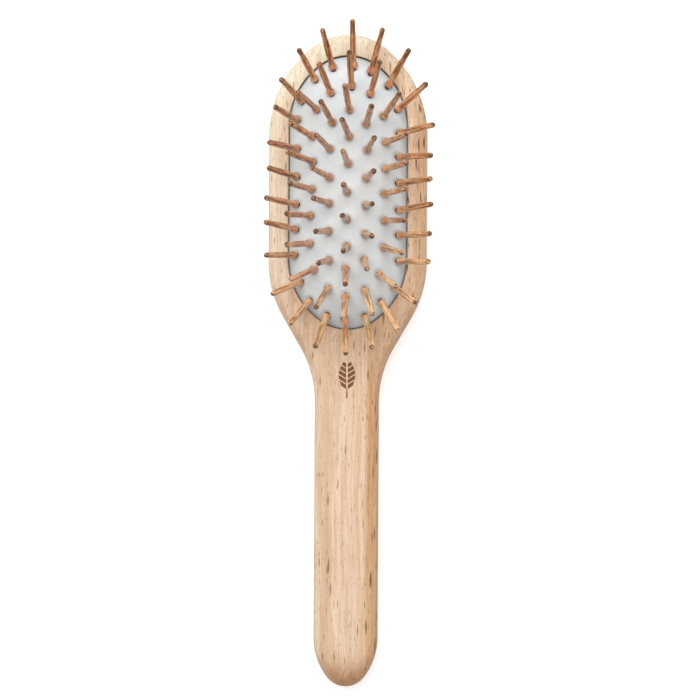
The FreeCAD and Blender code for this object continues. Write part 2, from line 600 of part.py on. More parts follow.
    turned = body.newObject("PartDesign::Revolution", "turned_" + label)
    turned.Profile = sketch
    turned.ReferenceAxis = (sketch, ["V_Axis"])
    turned.Angle = 360.0
    return body


pin_bodies = {}
for name, x, y, lean, heading in PINS:
    paired = any(name in pair for pair in PAIRS)
    body = make_pin(("turned_pin_" if paired else "pin_") + name)
    foot, turn = tilts[name]
    body.Placement = Placement(foot, turn)
    pin_bodies[name] = body
doc.recompute()

nodes = [handle_body, rubber_cushion]
for left, right in PAIRS:
    pair = doc.addObject("Part::Compound", "pins_%s_%s" % (left, right))
    pair.Label = "pins_%s_%s" % (left, right)
    pair.Links = [pin_bodies[left], pin_bodies[right]]
    nodes.append(pair)
for name, *_ in PINS:
    if not any(name in pair for pair in PAIRS):
        nodes.append(pin_bodies[name])
doc.recompute()

# ---------------------------------------------------------------- checks and export
for item in doc.Objects:
    if "Invalid" in item.State or "Error" in item.State:
        raise RuntimeError("%s failed: %s" % (item.Name, item.State))
os.makedirs("parts", exist_ok=True)
for node in nodes:
    shape = node.Shape
    if shape.isNull() or not shape.isValid():
        raise RuntimeError("%s has no valid shape" % node.Label)
    if shape.Volume <= 0 or not shape.Solids:
        raise RuntimeError("%s is not solid" % node.Label)
for node in nodes:
    node.Shape.exportStep("parts/%s.step" % node.Label)
print("%d nodes, %d solids" % (len(nodes), sum(len(n.Shape.Solids) for n in nodes)))
print("body %.1f cm3, cushion %.2f cm3, pin %.1f mm3" % (
    handle_body.Shape.Volume / 1000, rubber_cushion.Shape.Volume / 1000, pin_bodies["d06"].Shape.Volume))
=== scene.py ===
"""Wooden cushion hairbrush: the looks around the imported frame.

Row frame, metres. The brush lies on its flat back at z = 0, pins up, head towards +Y.
"""

import json
import math
import random

import bpy
import numpy as np
from mathutils import Matrix, Vector
from mathutils.geometry import delaunay_2d_cdt


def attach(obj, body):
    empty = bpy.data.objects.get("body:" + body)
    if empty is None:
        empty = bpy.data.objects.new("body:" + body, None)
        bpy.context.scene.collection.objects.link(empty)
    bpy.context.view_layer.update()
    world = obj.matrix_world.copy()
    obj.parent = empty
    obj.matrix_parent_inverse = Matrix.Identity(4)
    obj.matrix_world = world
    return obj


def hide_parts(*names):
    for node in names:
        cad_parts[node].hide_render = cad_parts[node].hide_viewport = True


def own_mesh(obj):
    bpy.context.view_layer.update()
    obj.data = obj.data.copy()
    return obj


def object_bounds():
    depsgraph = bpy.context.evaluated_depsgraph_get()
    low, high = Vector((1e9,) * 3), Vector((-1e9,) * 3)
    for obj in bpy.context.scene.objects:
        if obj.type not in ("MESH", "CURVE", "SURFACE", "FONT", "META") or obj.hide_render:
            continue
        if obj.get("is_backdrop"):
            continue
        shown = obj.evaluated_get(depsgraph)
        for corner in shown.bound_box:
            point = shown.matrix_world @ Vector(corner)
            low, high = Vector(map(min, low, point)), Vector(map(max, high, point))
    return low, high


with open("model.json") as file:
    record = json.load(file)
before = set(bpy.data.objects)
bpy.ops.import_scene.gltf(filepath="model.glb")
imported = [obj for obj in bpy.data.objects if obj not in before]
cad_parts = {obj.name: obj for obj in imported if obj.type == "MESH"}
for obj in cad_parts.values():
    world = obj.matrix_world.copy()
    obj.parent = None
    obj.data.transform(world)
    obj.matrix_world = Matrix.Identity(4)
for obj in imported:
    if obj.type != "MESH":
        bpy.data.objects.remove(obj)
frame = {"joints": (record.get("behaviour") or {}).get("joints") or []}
CAD_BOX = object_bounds()
MM = 0.001
scene = bpy.context.scene

# ------------------------------------------------------------------ the model's dimensions, in mm
HEAD_W, HEAD_R, HEAD_APEX, HEAD_TOP, HEAD_SIDE = 29.2, 42.0, 21.5, 82.5, 36.2
SHOULDER_R, NECK_R, NECK_A = 40.0, 40.0, math.radians(30.0)
HANDLE_W, HANDLE_R, HANDLE_APEX, HANDLE_END = 11.85, 24.0, 8.7, 102.0
T, FRONT_R, BACK_R = 15.0, 5.0, 6.0
OPEN_Y, OPEN_W, OPEN_S, OPEN_R, OPEN_APEX, OPEN_EASE = 61.5, 21.75, 24.1, 28.0, 17.2, 0.4
RECESS, GROOVE_REACH, GROOVE_TOP, GROOVE_H = 9.0, 2.1, 2.3, 1.8
LIP_REACH, LIP_H, SKIRT_GAP, RIM_DEPTH, CROWN, RUBBER = 2.0, 1.7, 0.3, 1.5, 9.5, 1.6
PIN_LEN = 20.0
ARC = (OPEN_W ** 2 + CROWN ** 2) / (2 * CROWN)
RIM_Z = T - RIM_DEPTH

# name, foot x and y from the middle of the recess, lean off +Z and its heading from +Y towards +X (degrees)
PINS = (
    ("a01", -17.01, 32.83, 28.4, -49.1),
    ("a02", -18.41, 26.13, 25.0, -72.6),
    ("a03", -18.39, 15.68, 30.7, -86.6),
    ("a04", -18.52, 5.40, 31.2, -79.9),
    ("a05", -18.58, -4.57, 34.1, -84.1),
    ("a06", -18.73, -13.72, 33.7, -81.0),
    ("a07", -19.07, -23.02, 32.0, -94.9),
    ("a08", -17.03, -32.79, 33.8, -115.8),
    ("b01", -12.12, 40.69, 32.6, -32.5),
    ("b02", -11.34, 29.39, 23.4, -57.5),
    ("b03", -12.85, 19.73, 24.5, -70.0),
    ("b04", -12.52, 10.52, 28.5, -77.9),
    ("b05", -12.90, 0.65, 24.1, -85.2),
    ("b06", -13.36, -8.85, 25.9, -94.9),
    ("b07", -13.49, -18.97, 25.5, -99.6),
    ("b08", -12.00, -28.21, 27.9, -119.3),
    ("b09", -13.73, -39.60, 34.9, -142.1),
    ("c01", -5.66, 44.83, 39.9, -17.9),
    ("c02", -6.30, 35.21, 29.4, -26.5),
    ("c03", -5.66, 24.38, 20.6, -36.5),
    ("c04", -6.53, 14.97, 17.3, -57.2),
    ("c05", -6.47, 4.76, 20.0, -74.4),
    ("c06", -6.65, -4.55, 16.9, -86.3),
    ("c07", -6.85, -14.56, 14.0, -104.8),
    ("c08", -6.65, -24.99, 12.8, -117.9),
    ("c09", -6.95, -35.06, 26.4, -151.2),
    ("c10", -7.51, -44.84, 39.6, -162.0),
    ("d01", 1.76, 45.13, 52.2, -2.1),
    ("d02", 1.15, 37.39, 34.0, -5.8),
    ("d03", 0.42, 28.97, 20.8, -15.3),
    ("d04", 0.42, 19.37, 14.9, -31.0),
    ("d05", 0.07, 9.73, 9.5, -38.7),
    ("d06", -0.27, -0.46, 5.1, -56.7),
    ("d07", -0.39, -10.31, 4.3, -99.6),
    ("d08", -0.35, -19.88, 9.3, -156.9),
    ("d09", -0.75, -27.73, 20.5, 179.3),
    ("d10", -0.72, -37.84, 27.4, -176.4),
    ("d11", -0.86, -46.20, 41.4, 178.2),
    ("e01", 7.95, 43.31, 49.4, 16.2),
    ("e02", 7.77, 34.89, 32.5, 17.6),
    ("e03", 6.39, 23.98, 14.4, 20.2),
    ("e04", 6.80, 14.73, 10.4, 42.6),
    ("e05", 6.48, 4.51, 8.4, 64.8),
    ("e06", 6.38, -5.29, 7.1, 112.0),
    ("e07", 6.25, -15.53, 9.1, 127.9),
    ("e08", 5.84, -24.57, 14.0, 165.6),
    ("e09", 6.37, -35.59, 29.8, 165.1),
    ("e10", 6.48, -45.14, 37.3, 168.5),
    ("f01", 14.22, 38.54, 45.0, 32.5),
    ("f02", 12.51, 27.08, 25.6, 42.9),
    ("f03", 13.35, 17.85, 23.1, 82.2),
    ("f04", 13.24, 8.27, 22.3, 87.2),
    ("f05", 12.88, -0.81, 24.2, 86.9),
    ("f06", 12.99, -10.51, 22.0, 97.9),
    ("f07", 12.93, -20.17, 21.0, 115.1),
    ("f08", 11.38, -30.02, 23.4, 131.1),
    ("f09", 12.20, -39.86, 40.7, 151.1),
    ("g01", 17.65, 30.01, 41.2, 53.1),
    ("g02", 18.38, 21.50, 38.5, 82.9),
    ("g03", 18.09, 12.87, 36.9, 93.7),
    ("g04", 18.15, 3.33, 36.1, 88.2),
    ("g05", 18.20, -6.56, 37.0, 84.3),
    ("g06", 18.28, -15.56, 35.5, 92.6),
    ("g07", 18.39, -24.99, 32.9, 95.8),
    ("g08", 16.84, -34.30, 29.9, 130.1),
)

# pins that share one node
PAIRS = (("c01", "e01"), ("b01", "f01"), ("a01", "g01"), ("b09", "f09"),
         ("c10", "e10"), ("a08", "g08"), ("b08", "f08"))


# ------------------------------------------------------------------ small helpers
def end_length(width, side, apex):
    return apex + math.sqrt((side - apex) ** 2 - (side - width) ** 2)


def arc_points(cx, cy, r, a0, a1, n):
    """n points along an arc, without its last one."""
    return [(cx + r * math.cos(a0 + (a1 - a0) * k / n), cy + r * math.sin(a0 + (a1 - a0) * k / n)) for k in range(n)]


def line_points(p, q, n):
    return [(p[0] + (q[0] - p[0]) * k / n, p[1] + (q[1] - p[1]) * k / n) for k in range(n)]


def body_outline(inset=0.0, fine=1.0):
    """The body's outline moved inwards, anticlockwise, always with the same number of points."""
    i = inset
    w, R, r, top, y1 = HEAD_W - i, HEAD_R - i, HEAD_APEX - i, HEAD_TOP, HEAD_SIDE
    cR = HEAD_W - HEAD_R
    e = end_length(HEAD_W, HEAD_R, HEAD_APEX) - HEAD_APEX
    a = math.atan2(e, -cR)
    n = NECK_A
    v1 = y1 - SHOULDER_R * math.sin(n)
    x1 = HEAD_W - SHOULDER_R + SHOULDER_R * math.cos(n)
    x2 = HANDLE_W + NECK_R - NECK_R * math.cos(n)
    v2 = v1 - (x1 - x2) / math.tan(n)
    y2 = v2 - NECK_R * math.sin(n)
    ye = -HANDLE_END
    ee = end_length(HANDLE_W, HANDLE_R, HANDLE_APEX) - HANDLE_APEX
    b = math.atan2(ee, HANDLE_R - HANDLE_W)
    c = lambda k: max(2, int(round(k * fine)))
    pi = math.pi
    h = HANDLE_W - i
    r1, r2 = SHOULDER_R - i, NECK_R + i
    sx, sy = math.cos(n), math.sin(n)
    pts = []
    pts += line_points((w, y1), (w, top), c(34))
    pts += arc_points(cR, top, R, 0, a, c(34))
    pts += arc_points(0, top + e, r, a, pi - a, c(34))
    pts += arc_points(-cR, top, R, pi - a, pi, c(34))
    pts += line_points((-w, top), (-w, y1), c(34))
    pts += arc_points(SHOULDER_R - HEAD_W, y1, r1, pi, pi + n, c(18))
    pts += line_points((SHOULDER_R - HEAD_W - r1 * sx, y1 - r1 * sy), (-HANDLE_W - NECK_R + r2 * sx, y2 + r2 * sy), c(12))
    pts += arc_points(-HANDLE_W - NECK_R, y2, r2, n, 0, c(20))
    pts += line_points((-h, y2), (-h, ye), c(60))
    pts += arc_points(HANDLE_R - HANDLE_W, ye, HANDLE_R - i, pi, pi + b, c(16))
    pts += arc_points(0, ye - ee, HANDLE_APEX - i, pi + b, 2 * pi - b, c(20))
    pts += arc_points(HANDLE_W - HANDLE_R, ye, HANDLE_R - i, 2 * pi - b, 2 * pi, c(16))
    pts += line_points((h, ye), (h, y2), c(60))
    pts += arc_points(HANDLE_W + NECK_R, y2, r2, pi, pi - n, c(20))
    pts += line_points((HANDLE_W + NECK_R - r2 * sx, y2 + r2 * sy), (HEAD_W - SHOULDER_R + r1 * sx, y1 - r1 * sy), c(12))
    pts += arc_points(HEAD_W - SHOULDER_R, y1, r1, 2 * pi - n, 2 * pi, c(18))
    return pts


def oval(inset=0.0, fine=1.0):
    """The recess's oval moved inwards, anticlockwise, centred on the body's frame."""
    w, R, r, s, yc = OPEN_W - inset, OPEN_R - inset, OPEN_APEX - inset, OPEN_S, OPEN_Y
    e = end_length(OPEN_W, OPEN_R, OPEN_APEX) - OPEN_APEX
    a = math.atan2(e, OPEN_R - OPEN_W)
    c = lambda k: max(2, int(round(k * fine)))
    pi = math.pi
    pts = []
    pts += line_points((w, yc - s), (w, yc + s), c(60))
    pts += arc_points(OPEN_W - OPEN_R, yc + s, R, 0, a, c(32))
    pts += arc_points(0, yc + s + e, r, a, pi - a, c(28))
    pts += arc_points(OPEN_R - OPEN_W, yc + s, R, pi - a, pi, c(32))
    pts += line_points((-w, yc + s), (-w, yc - s), c(60))
    pts += arc_points(OPEN_R - OPEN_W, yc - s, R, pi, pi + a, c(32))
    pts += arc_points(0, yc - s - e, r, pi + a, 2 * pi - a, c(28))
    pts += arc_points(OPEN_W - OPEN_R, yc - s, R, 2 * pi - a, 2 * pi, c(32))
    return pts


E_OVAL = end_length(OPEN_W, OPEN_R, OPEN_APEX) - OPEN_APEX


def inset_at(x, y):
    """Distance from the rim; x, y from the recess's middle. The two sides meet in a soft ridge."""
    x, y = abs(x), abs(y)
    if y > OPEN_S:
        yy = y - OPEN_S
        if math.atan2(yy, x + OPEN_R - OPEN_W) > math.atan2(E_OVAL, OPEN_R - OPEN_W):
            return OPEN_APEX - math.hypot(x, yy - E_OVAL)
    else:
        yy = 0.0
    near = OPEN_R - math.hypot(x + OPEN_R - OPEN_W, yy)
    far = OPEN_R - math.hypot(-x + OPEN_R - OPEN_W, yy) if yy else OPEN_W + x
    k = 1.2
    return near - k * math.log(1 + math.exp(-(far - near) / k)) + k * math.log(2) * math.exp(-((OPEN_W - near) / 3.0) ** 2)


def crown_at(inset):
    inset = min(max(inset, 0.0), OPEN_W)
    return math.sqrt(ARC ** 2 - (OPEN_W - inset) ** 2) - (ARC - CROWN)


def new_object(name, verts, faces, smooth=True, scale=MM):
    mesh = bpy.data.meshes.new(name)
    mesh.from_pydata([tuple(c * scale for c in v) for v in verts], [], faces)
    mesh.validate(verbose=False)
    mesh.update()
    if smooth:
        mesh.shade_smooth()
    obj = bpy.data.objects.new(name, mesh)
    scene.collection.objects.link(obj)
    return obj


class Build:
    """Collects vertices and faces, with a material index for each face."""

    def __init__(self):
        self.v, self.f, self.m = [], [], []

    def ring(self, pts, z):
        start = len(self.v)
        self.v += [(x, y, z) for x, y in pts]
        return list(range(start, start + len(pts)))

    def bridge(self, low, high, mat=0):
        n = len(low)
        for k in range(n):
            self.f.append((low[k], low[(k + 1) % n], high[(k + 1) % n], high[k]))
            self.m.append(mat)

    def fill(self, outer, holes=(), up=True, extra=(), mat=0, z=None):
        """Flat face inside the ring outer, less the rings in holes, with extra inner points."""
        loops = [list(outer)] + [list(h) for h in holes]
        ids = [i for loop in loops for i in loop]
        pts = [Vector(self.v[i][:2]) for i in ids] + [Vector(p) for p in extra]
        z = self.v[outer[0]][2] if z is None else z
        edges, at = [], 0
        for loop in loops:
            n = len(loop)
            edges += [(at + k, at + (k + 1) % n) for k in range(n)]
            at += n
        out_v, _, out_f, orig_v, _, _ = delaunay_2d_cdt(pts, edges, [], 0, 1e-6)
        where = []
        for k, p in enumerate(out_v):
            src = [s for s in orig_v[k] if s < len(ids)]
            if src:
                where.append(ids[src[0]])
            else:
                where.append(len(self.v))
                self.v.append((p[0], p[1], z))
        polys = [[Vector(self.v[i][:2]) for i in loop] for loop in loops]
        boxes = [(min(p.x for p in q), max(p.x for p in q), min(p.y for p in q), max(p.y for p in q)) for q in polys]

        def inside(c, poly, box):
            if not (box[0] <= c[0] <= box[1] and box[2] <= c[1] <= box[3]):
                return False
            hit, j = False, len(poly) - 1
            for i in range(len(poly)):
                a, b = poly[i], poly[j]
                if (a.y > c[1]) != (b.y > c[1]) and c[0] < (b.x - a.x) * (c[1] - a.y) / (b.y - a.y) + a.x:
                    hit = not hit
                j = i
            return hit

        for f in out_f:
            c = (sum(out_v[i][0] for i in f) / len(f), sum(out_v[i][1] for i in f) / len(f))
            if not inside(c, polys[0], boxes[0]) or any(inside(c, polys[k], boxes[k]) for k in range(1, len(polys))):
                continue
            a, b, d = (Vector(out_v[i]) for i in f[:3])
            area = (b.x - a.x) * (d.y - a.y) - (b.y - a.y) * (d.x - a.x)
            face = [where[i] for i in f]
            if (area > 0) != up:
                face.reverse()
            self.f.append(tuple(face))
            self.m.append(mat)

    def object(self, name, materials):
        obj = new_object(name, self.v, self.f)
        for m in materials:
            obj.data.materials.append(m)
        if len(obj.data.polygons) == len(self.m):
            obj.data.polygons.foreach_set("material_index", self.m)
        return obj


# ------------------------------------------------------------------ node materials
class Nodes:
    def __init__(self, name):
        self.mat = bpy.data.materials.new(name)
        self.mat.use_nodes = True
        self.t = self.mat.node_tree
        self.t.nodes.clear()
        self.out = self.n("ShaderNodeOutputMaterial")
        self.bsdf = self.n("ShaderNodeBsdfPrincipled")
        self.link(self.bsdf.outputs[0], self.out.inputs[0])

    def n(self, kind, **props):
        node = self.t.nodes.new(kind)
        for k, v in props.items():
            setattr(node, k, v)
        return node

    def link(self, a, b):
        self.t.links.new(a, b)

    def put(self, socket, value):
        if isinstance(value, bpy.types.NodeSocket):
            self.link(value, socket)
        else:
            socket.default_value = value

    def math(self, op, a, b=None, c=None, clamp=False):
        node = self.n("ShaderNodeMath", operation=op, use_clamp=clamp)
        for i, v in enumerate((a, b, c)):
            if v is not None:
                self.put(node.inputs[i], v)
        return node.outputs[0]

    def vmul(self, vector, scale):
        node = self.n("ShaderNodeVectorMath", operation="MULTIPLY")
        self.put(node.inputs[0], vector)
        node.inputs[1].default_value = scale
        return node.outputs[0]

    def vadd(self, a, b):
        node = self.n("ShaderNodeVectorMath", operation="ADD")
        self.put(node.inputs[0], a)
        self.put(node.inputs[1], b)
        return node.outputs[0]

    def noise(self, vector, scale=1.0, detail=2.0, rough=0.5, distortion=0.0, dims="3D"):
        node = self.n("ShaderNodeTexNoise", noise_dimensions=dims)
        self.put(node.inputs["Vector"], vector)
        node.inputs["Scale"].default_value = scale
        node.inputs["Detail"].default_value = detail
        node.inputs["Roughness"].default_value = rough
        node.inputs["Distortion"].default_value = distortion
        return node.outputs["Fac"], node.outputs["Color"]

    def voronoi(self, vector, scale=1.0, rand=1.0):
        node = self.n("ShaderNodeTexVoronoi", feature="F1")
        self.put(node.inputs["Vector"], vector)
        node.inputs["Scale"].default_value = scale
        node.inputs["Randomness"].default_value = rand
        return node.outputs["Distance"], node.outputs["Color"]

    def range(self, value, a, b, lo=0.0, hi=1.0, kind="SMOOTHSTEP"):
        node = self.n("ShaderNodeMapRange", interpolation_type=kind, clamp=True) if kind != "LINEAR" else self.n("ShaderNodeMapRange")
        self.put(node.inputs["Value"], value)
        node.inputs["From Min"].default_value = a
        node.inputs["From Max"].default_value = b
        node.inputs["To Min"].default_value = lo
        node.inputs["To Max"].default_value = hi
        return node.outputs[0]

    def mix(self, fac, a, b, blend="MIX"):
        node = self.n("ShaderNodeMix", data_type="RGBA", blend_type=blend)
        self.put(node.inputs[0], fac)
        self.put(node.inputs[6], a)
        self.put(node.inputs[7], b)
        return node.outputs[2]

    def split(self, vector):
        node = self.n("ShaderNodeSeparateXYZ")
        self.put(node.inputs[0], vector)
        return node.outputs

    def coords(self, to_mm=1000.0):
        return self.vmul(self.n("ShaderNodeTexCoord").outputs["Object"], (to_mm,) * 3)

    def attr(self, name):
        return self.n("ShaderNodeAttribute", attribute_name=name)

    def bump(self, height, strength=0.3, distance=0.0001):
        node = self.n("ShaderNodeBump")
        node.inputs["Strength"].default_value = strength
        node.inputs["Distance"].default_value = distance
        self.put(node.inputs["Height"], height)
        self.link(node.outputs[0], self.bsdf.inputs["Normal"])
        return node


def srgb(r, g, b):
    f = lambda c: (c / 255 / 12.92) if c / 255 <= 0.04045 else ((c / 255 + 0.055) / 1.055) ** 2.4
    return (f(r), f(g), f(b), 1.0)


def beech(name, burnt=False, raw_and_painted_shade=False):
    """Straight-grained beech: broad tone bands, fine lines along Y, and short dark flecks, with painted light and shade
    on its head, sides and edges.
    burnt chars it for the mark; the recess option darkens the unsanded, glue-stained wall of the recess with painted
    shade that deepens into it."""
    m = Nodes(name)
    p = m.coords()
    x, y, z = m.split(p)
    # the rings drift a little sideways along the board
    wander, _ = m.noise(m.vmul(p, (0.03, 0.012, 0.03)), 1.0, 2.0)
    shift = m.n("ShaderNodeCombineXYZ")
    m.link(m.math("MULTIPLY", m.math("SUBTRACT", wander, 0.5), 6.0), shift.inputs[0])
    q = m.vadd(p, shift.outputs[0])

    bands, _ = m.noise(m.vmul(q, (0.17, 0.006, 0.13)), 1.0, 3.0, 0.55)
    lines, _ = m.noise(m.vmul(q, (0.80, 0.030, 0.7)), 1.0, 4.0, 0.6)
    fine, _ = m.noise(m.vmul(q, (2.6, 0.09, 2.2)), 1.0, 3.0, 0.6)
    cloud, _ = m.noise(m.vmul(q, (0.09, 0.030, 0.09)), 1.0, 3.0)

    base = m.mix(m.range(bands, 0.36, 0.64), srgb(213, 183, 152), srgb(225, 200, 174))
    base = m.mix(m.range(cloud, 0.40, 0.62, 0.0, 0.50), base, srgb(227, 192, 171))
    base = m.mix(m.range(lines, 0.40, 0.62, 0.0, 0.70), base, srgb(202, 168, 135))
    base = m.mix(m.range(lines, 0.46, 0.34, 0.0, 0.34), base, srgb(230, 206, 180))
    base = m.mix(m.range(fine, 0.50, 0.70, 0.0, 0.60), base, srgb(190, 154, 120))
    base = m.mix(m.range(fine, 0.44, 0.30, 0.0, 0.32), base, srgb(232, 210, 185))
    nx, ny, nz = m.split(m.n("ShaderNodeTexCoord").outputs["Normal"])
    front = m.range(nz, -0.15, 0.45)
    # painted light: the head paler and creamier at its top and down its left side, where the light falls from the top
    # left
    top = m.range(m.math("ADD", y, m.math("MULTIPLY", x, -0.30)), 74.0, 112.0, 0.0, 0.74)
    top = m.math("MULTIPLY", top, m.range(nz, -0.15, 0.45, 0.25, 1.0))
    base = m.mix(top, base, m.mix(m.range(lines, 0.38, 0.62), srgb(227, 220, 199), srgb(211, 201, 173)))
    left = m.math("MULTIPLY", m.range(x, -14.0, -23.0, 0.0, 0.62), m.math("MULTIPLY", m.range(y, 14.0, 34.0), front))
    base = m.mix(left, base, m.mix(m.range(lines, 0.38, 0.62), srgb(237, 222, 200), srgb(221, 202, 174)))
    # a tanner band along the right side, fading out in the head: partly older rings, partly painted shade on the
    # rounding turned away from the light; on the head's right rim the tan is painted shade
    edge = m.math("ADD", x, m.math("MULTIPLY", m.math("SUBTRACT", bands, 0.5), 5.0))
    tan = m.math("MULTIPLY", m.range(edge, 6.3, 7.6), m.range(y, -18.0, 14.0, 0.86, 0.32))
    outer = m.math("MULTIPLY", m.range(edge, 23.5, 27.0, 0.0, 0.58), m.math("MULTIPLY", m.range(y, 20.0, 34.0), front))
    tan = m.math("MAXIMUM", tan, outer)
    base = m.mix(tan, base, m.mix(m.range(lines, 0.38, 0.62), srgb(204, 160, 116), srgb(186, 138, 94)))
    # painted light: a paler band on the head's right rim beside the opening, lifting the shadow that the pins cast
    # there
    near = m.math("MULTIPLY", m.range(x, 24.8, 22.6, 0.0, 0.60), m.math("MULTIPLY", m.range(x, 20.0, 21.0), m.range(y, 24.0, 38.0)))
    near = m.math("MULTIPLY", near, front)
    base = m.mix(near, base, m.mix(m.range(fine, 0.40, 0.62), srgb(250, 226, 198), srgb(233, 199, 165)))
    # and a faint darker ring down the left of the handle
    ring = m.math("MULTIPLY", m.range(edge, -9.4, -8.2), m.range(edge, -6.0, -7.2))
    ring = m.math("MULTIPLY", ring, m.range(y, -8.0, -26.0, 0.0, 0.46))
    base = m.mix(ring, base, srgb(196, 160, 126))

    # darker and warmer on the faces turned down and at the handle's end: partly end grain that drinks more oil, partly
    # painted shade on the side away from the top light
    end_grain_and_painted_shade = m.math("MAXIMUM", m.range(ny, -0.15, -0.75), m.range(y, -105.5, -118.5, 0.0, 0.95))
    blotch, _ = m.noise(m.vmul(p, (0.55, 0.25, 0.55)), 1.0, 3.0, 0.6)
    base = m.mix(m.math("MULTIPLY", end_grain_and_painted_shade, m.range(blotch, 0.32, 0.66, 0.72, 1.0)), base, srgb(163, 112, 70))
    # painted light and shade on the rounded edges: pale on the left where the light falls, darker on the right and at
    # the waist, turned away from it
    flank = m.range(m.math("ABSOLUTE", nz), 0.85, 0.20)
    painted_shade_right_flank = m.math("MULTIPLY", flank, m.math("MULTIPLY", m.range(nx, -0.25, 0.35, 0.0, 0.60), m.range(y, -5.0, 40.0, 1.08, 0.84)))
    base = m.mix(painted_shade_right_flank, base, m.mix(m.range(lines, 0.38, 0.62), srgb(184, 146, 112), srgb(156, 116, 84)))
    wall = m.range(m.math("ABSOLUTE", nz), 0.42, 0.14)
    light = m.math("MULTIPLY", m.math("MULTIPLY", flank, m.math("SUBTRACT", 1.0, wall)), m.range(nx, -0.1, -0.6, 0.0, 0.46))
    base = m.mix(light, base, m.mix(m.range(lines, 0.38, 0.62), srgb(226, 208, 180), srgb(202, 180, 148)))
    # painted shade: the steep left wall darker, and a thin greyish band partway round the left rounding, as at a shaded
    # outline
    base = m.mix(m.math("MULTIPLY", wall, m.range(nx, -0.1, -0.5, 0.0, 0.52)), base, m.mix(m.range(lines, 0.38, 0.62), srgb(204, 168, 134), srgb(178, 140, 106)))
    rim = m.math("MULTIPLY", m.math("MULTIPLY", m.range(nz, 0.50, 0.36), m.range(nz, 0.10, 0.24)), m.range(nx, -0.3, -0.7, 0.0, 0.30))
    base = m.mix(rim, base, srgb(172, 152, 126))
    crown = m.math("MULTIPLY", m.math("MULTIPLY", wall, m.range(ny, 0.2, 0.8, 0.0, 0.60)), m.range(y, 60.0, 90.0))
    base = m.mix(crown, base, m.mix(m.range(blotch, 0.35, 0.6), srgb(208, 168, 132), srgb(176, 132, 96)))

    # flecks: short spindle-shaped dashes along the grain, in three sizes
    def flecks(sx, sy, width, chance, offset, vary=None):
        qq = m.vadd(q, (offset, offset * 1.7, offset * 0.6))
        node = m.n("ShaderNodeTexVoronoi", feature="F1", distance="MINKOWSKI")
        m.put(node.inputs["Vector"], m.vmul(qq, (sx, sy, sx)))
        node.inputs["Scale"].default_value = 1.0
        node.inputs["Exponent"].default_value = 1.35
        dist, cell = node.outputs["Distance"], node.outputs["Color"]
        r, g, _ = m.split(cell)
        if vary is not None:
            r = m.math("ADD", r, vary)
        keep = m.range(r, chance, chance + 0.02)
        size = m.math("MULTIPLY_ADD", g, width * 0.8, width * 0.6)
        body = m.math("SUBTRACT", 1.0, m.math("DIVIDE", dist, size), clamp=True)
        return m.math("MULTIPLY", m.range(body, 0.0, 0.5), keep)

    more = m.math("ADD", m.range(x, 4.5, 8.5, -0.05, 0.24), m.range(x, 16.0, 21.0, 0.0, 0.16))
    big = flecks(0.72, 0.090, 0.25, 0.66, 3.1, more)
    small = flecks(1.25, 0.20, 0.32, 0.44, 17.7, more)
    tiny = flecks(2.1, 0.45, 0.36, 0.28, 41.3)
    base = m.mix(m.math("MULTIPLY", tiny, 0.44), base, srgb(166, 124, 88))
    deep = m.range(x, 3.0, 9.0, 0.80, 1.0)
    base = m.mix(m.math("MULTIPLY", m.math("MULTIPLY", small, deep), 0.66), base, srgb(154, 112, 74))
    base = m.mix(m.math("MULTIPLY", m.math("MULTIPLY", big, deep), 0.92), base, srgb(124, 84, 50))
    # a few long open streaks
    streak = flecks(0.42, 0.050, 0.17, 0.78, 63.9, more)
    base = m.mix(m.math("MULTIPLY", streak, 0.80), base, srgb(136, 92, 56))
    # the older rings on the right carry dark pith flecks
    pith = m.math("MULTIPLY", flecks(0.60, 0.085, 0.34, 0.52, 88.3), m.math("MAXIMUM", m.math("MULTIPLY", m.range(edge, 6.4, 7.4), m.range(x, 16.0, 12.5)), m.range(x, 23.2, 24.4)))
    base = m.mix(m.math("MULTIPLY", pith, 0.90), base, srgb(112, 70, 38))

    if burnt:
        char, _ = m.noise(m.vmul(p, (1.6, 0.5, 1.6)), 1.0, 3.0)
        base = m.mix(0.96, base, m.mix(m.range(char, 0.3, 0.7), srgb(102, 52, 18), srgb(132, 72, 30)))
    if raw_and_painted_shade:
        # painted shade: darker the deeper into the recess, over the raw glue-stained wood
        deep = m.range(z, T - 0.05, T - 0.75, 0.25, 0.94)
        base = m.mix(deep, base, m.mix(m.range(fine, 0.35, 0.65), srgb(60, 42, 26), srgb(94, 68, 42)))
    m.put(m.bsdf.inputs["Base Color"], base)
    rough = m.range(fine, 0.3, 0.8, 0.50, 0.62)
    m.put(m.bsdf.inputs["Roughness"], rough)
    m.bsdf.inputs["Specular IOR Level"].default_value = 0.32
    height = m.math("ADD", m.math("MULTIPLY", fine, 0.35),
                    m.math("SUBTRACT", m.math("MULTIPLY", lines, 0.3), m.math("MULTIPLY", m.math("ADD", big, small), 0.55)))
    m.bump(height, 0.35, 0.00009)
    return m.mat


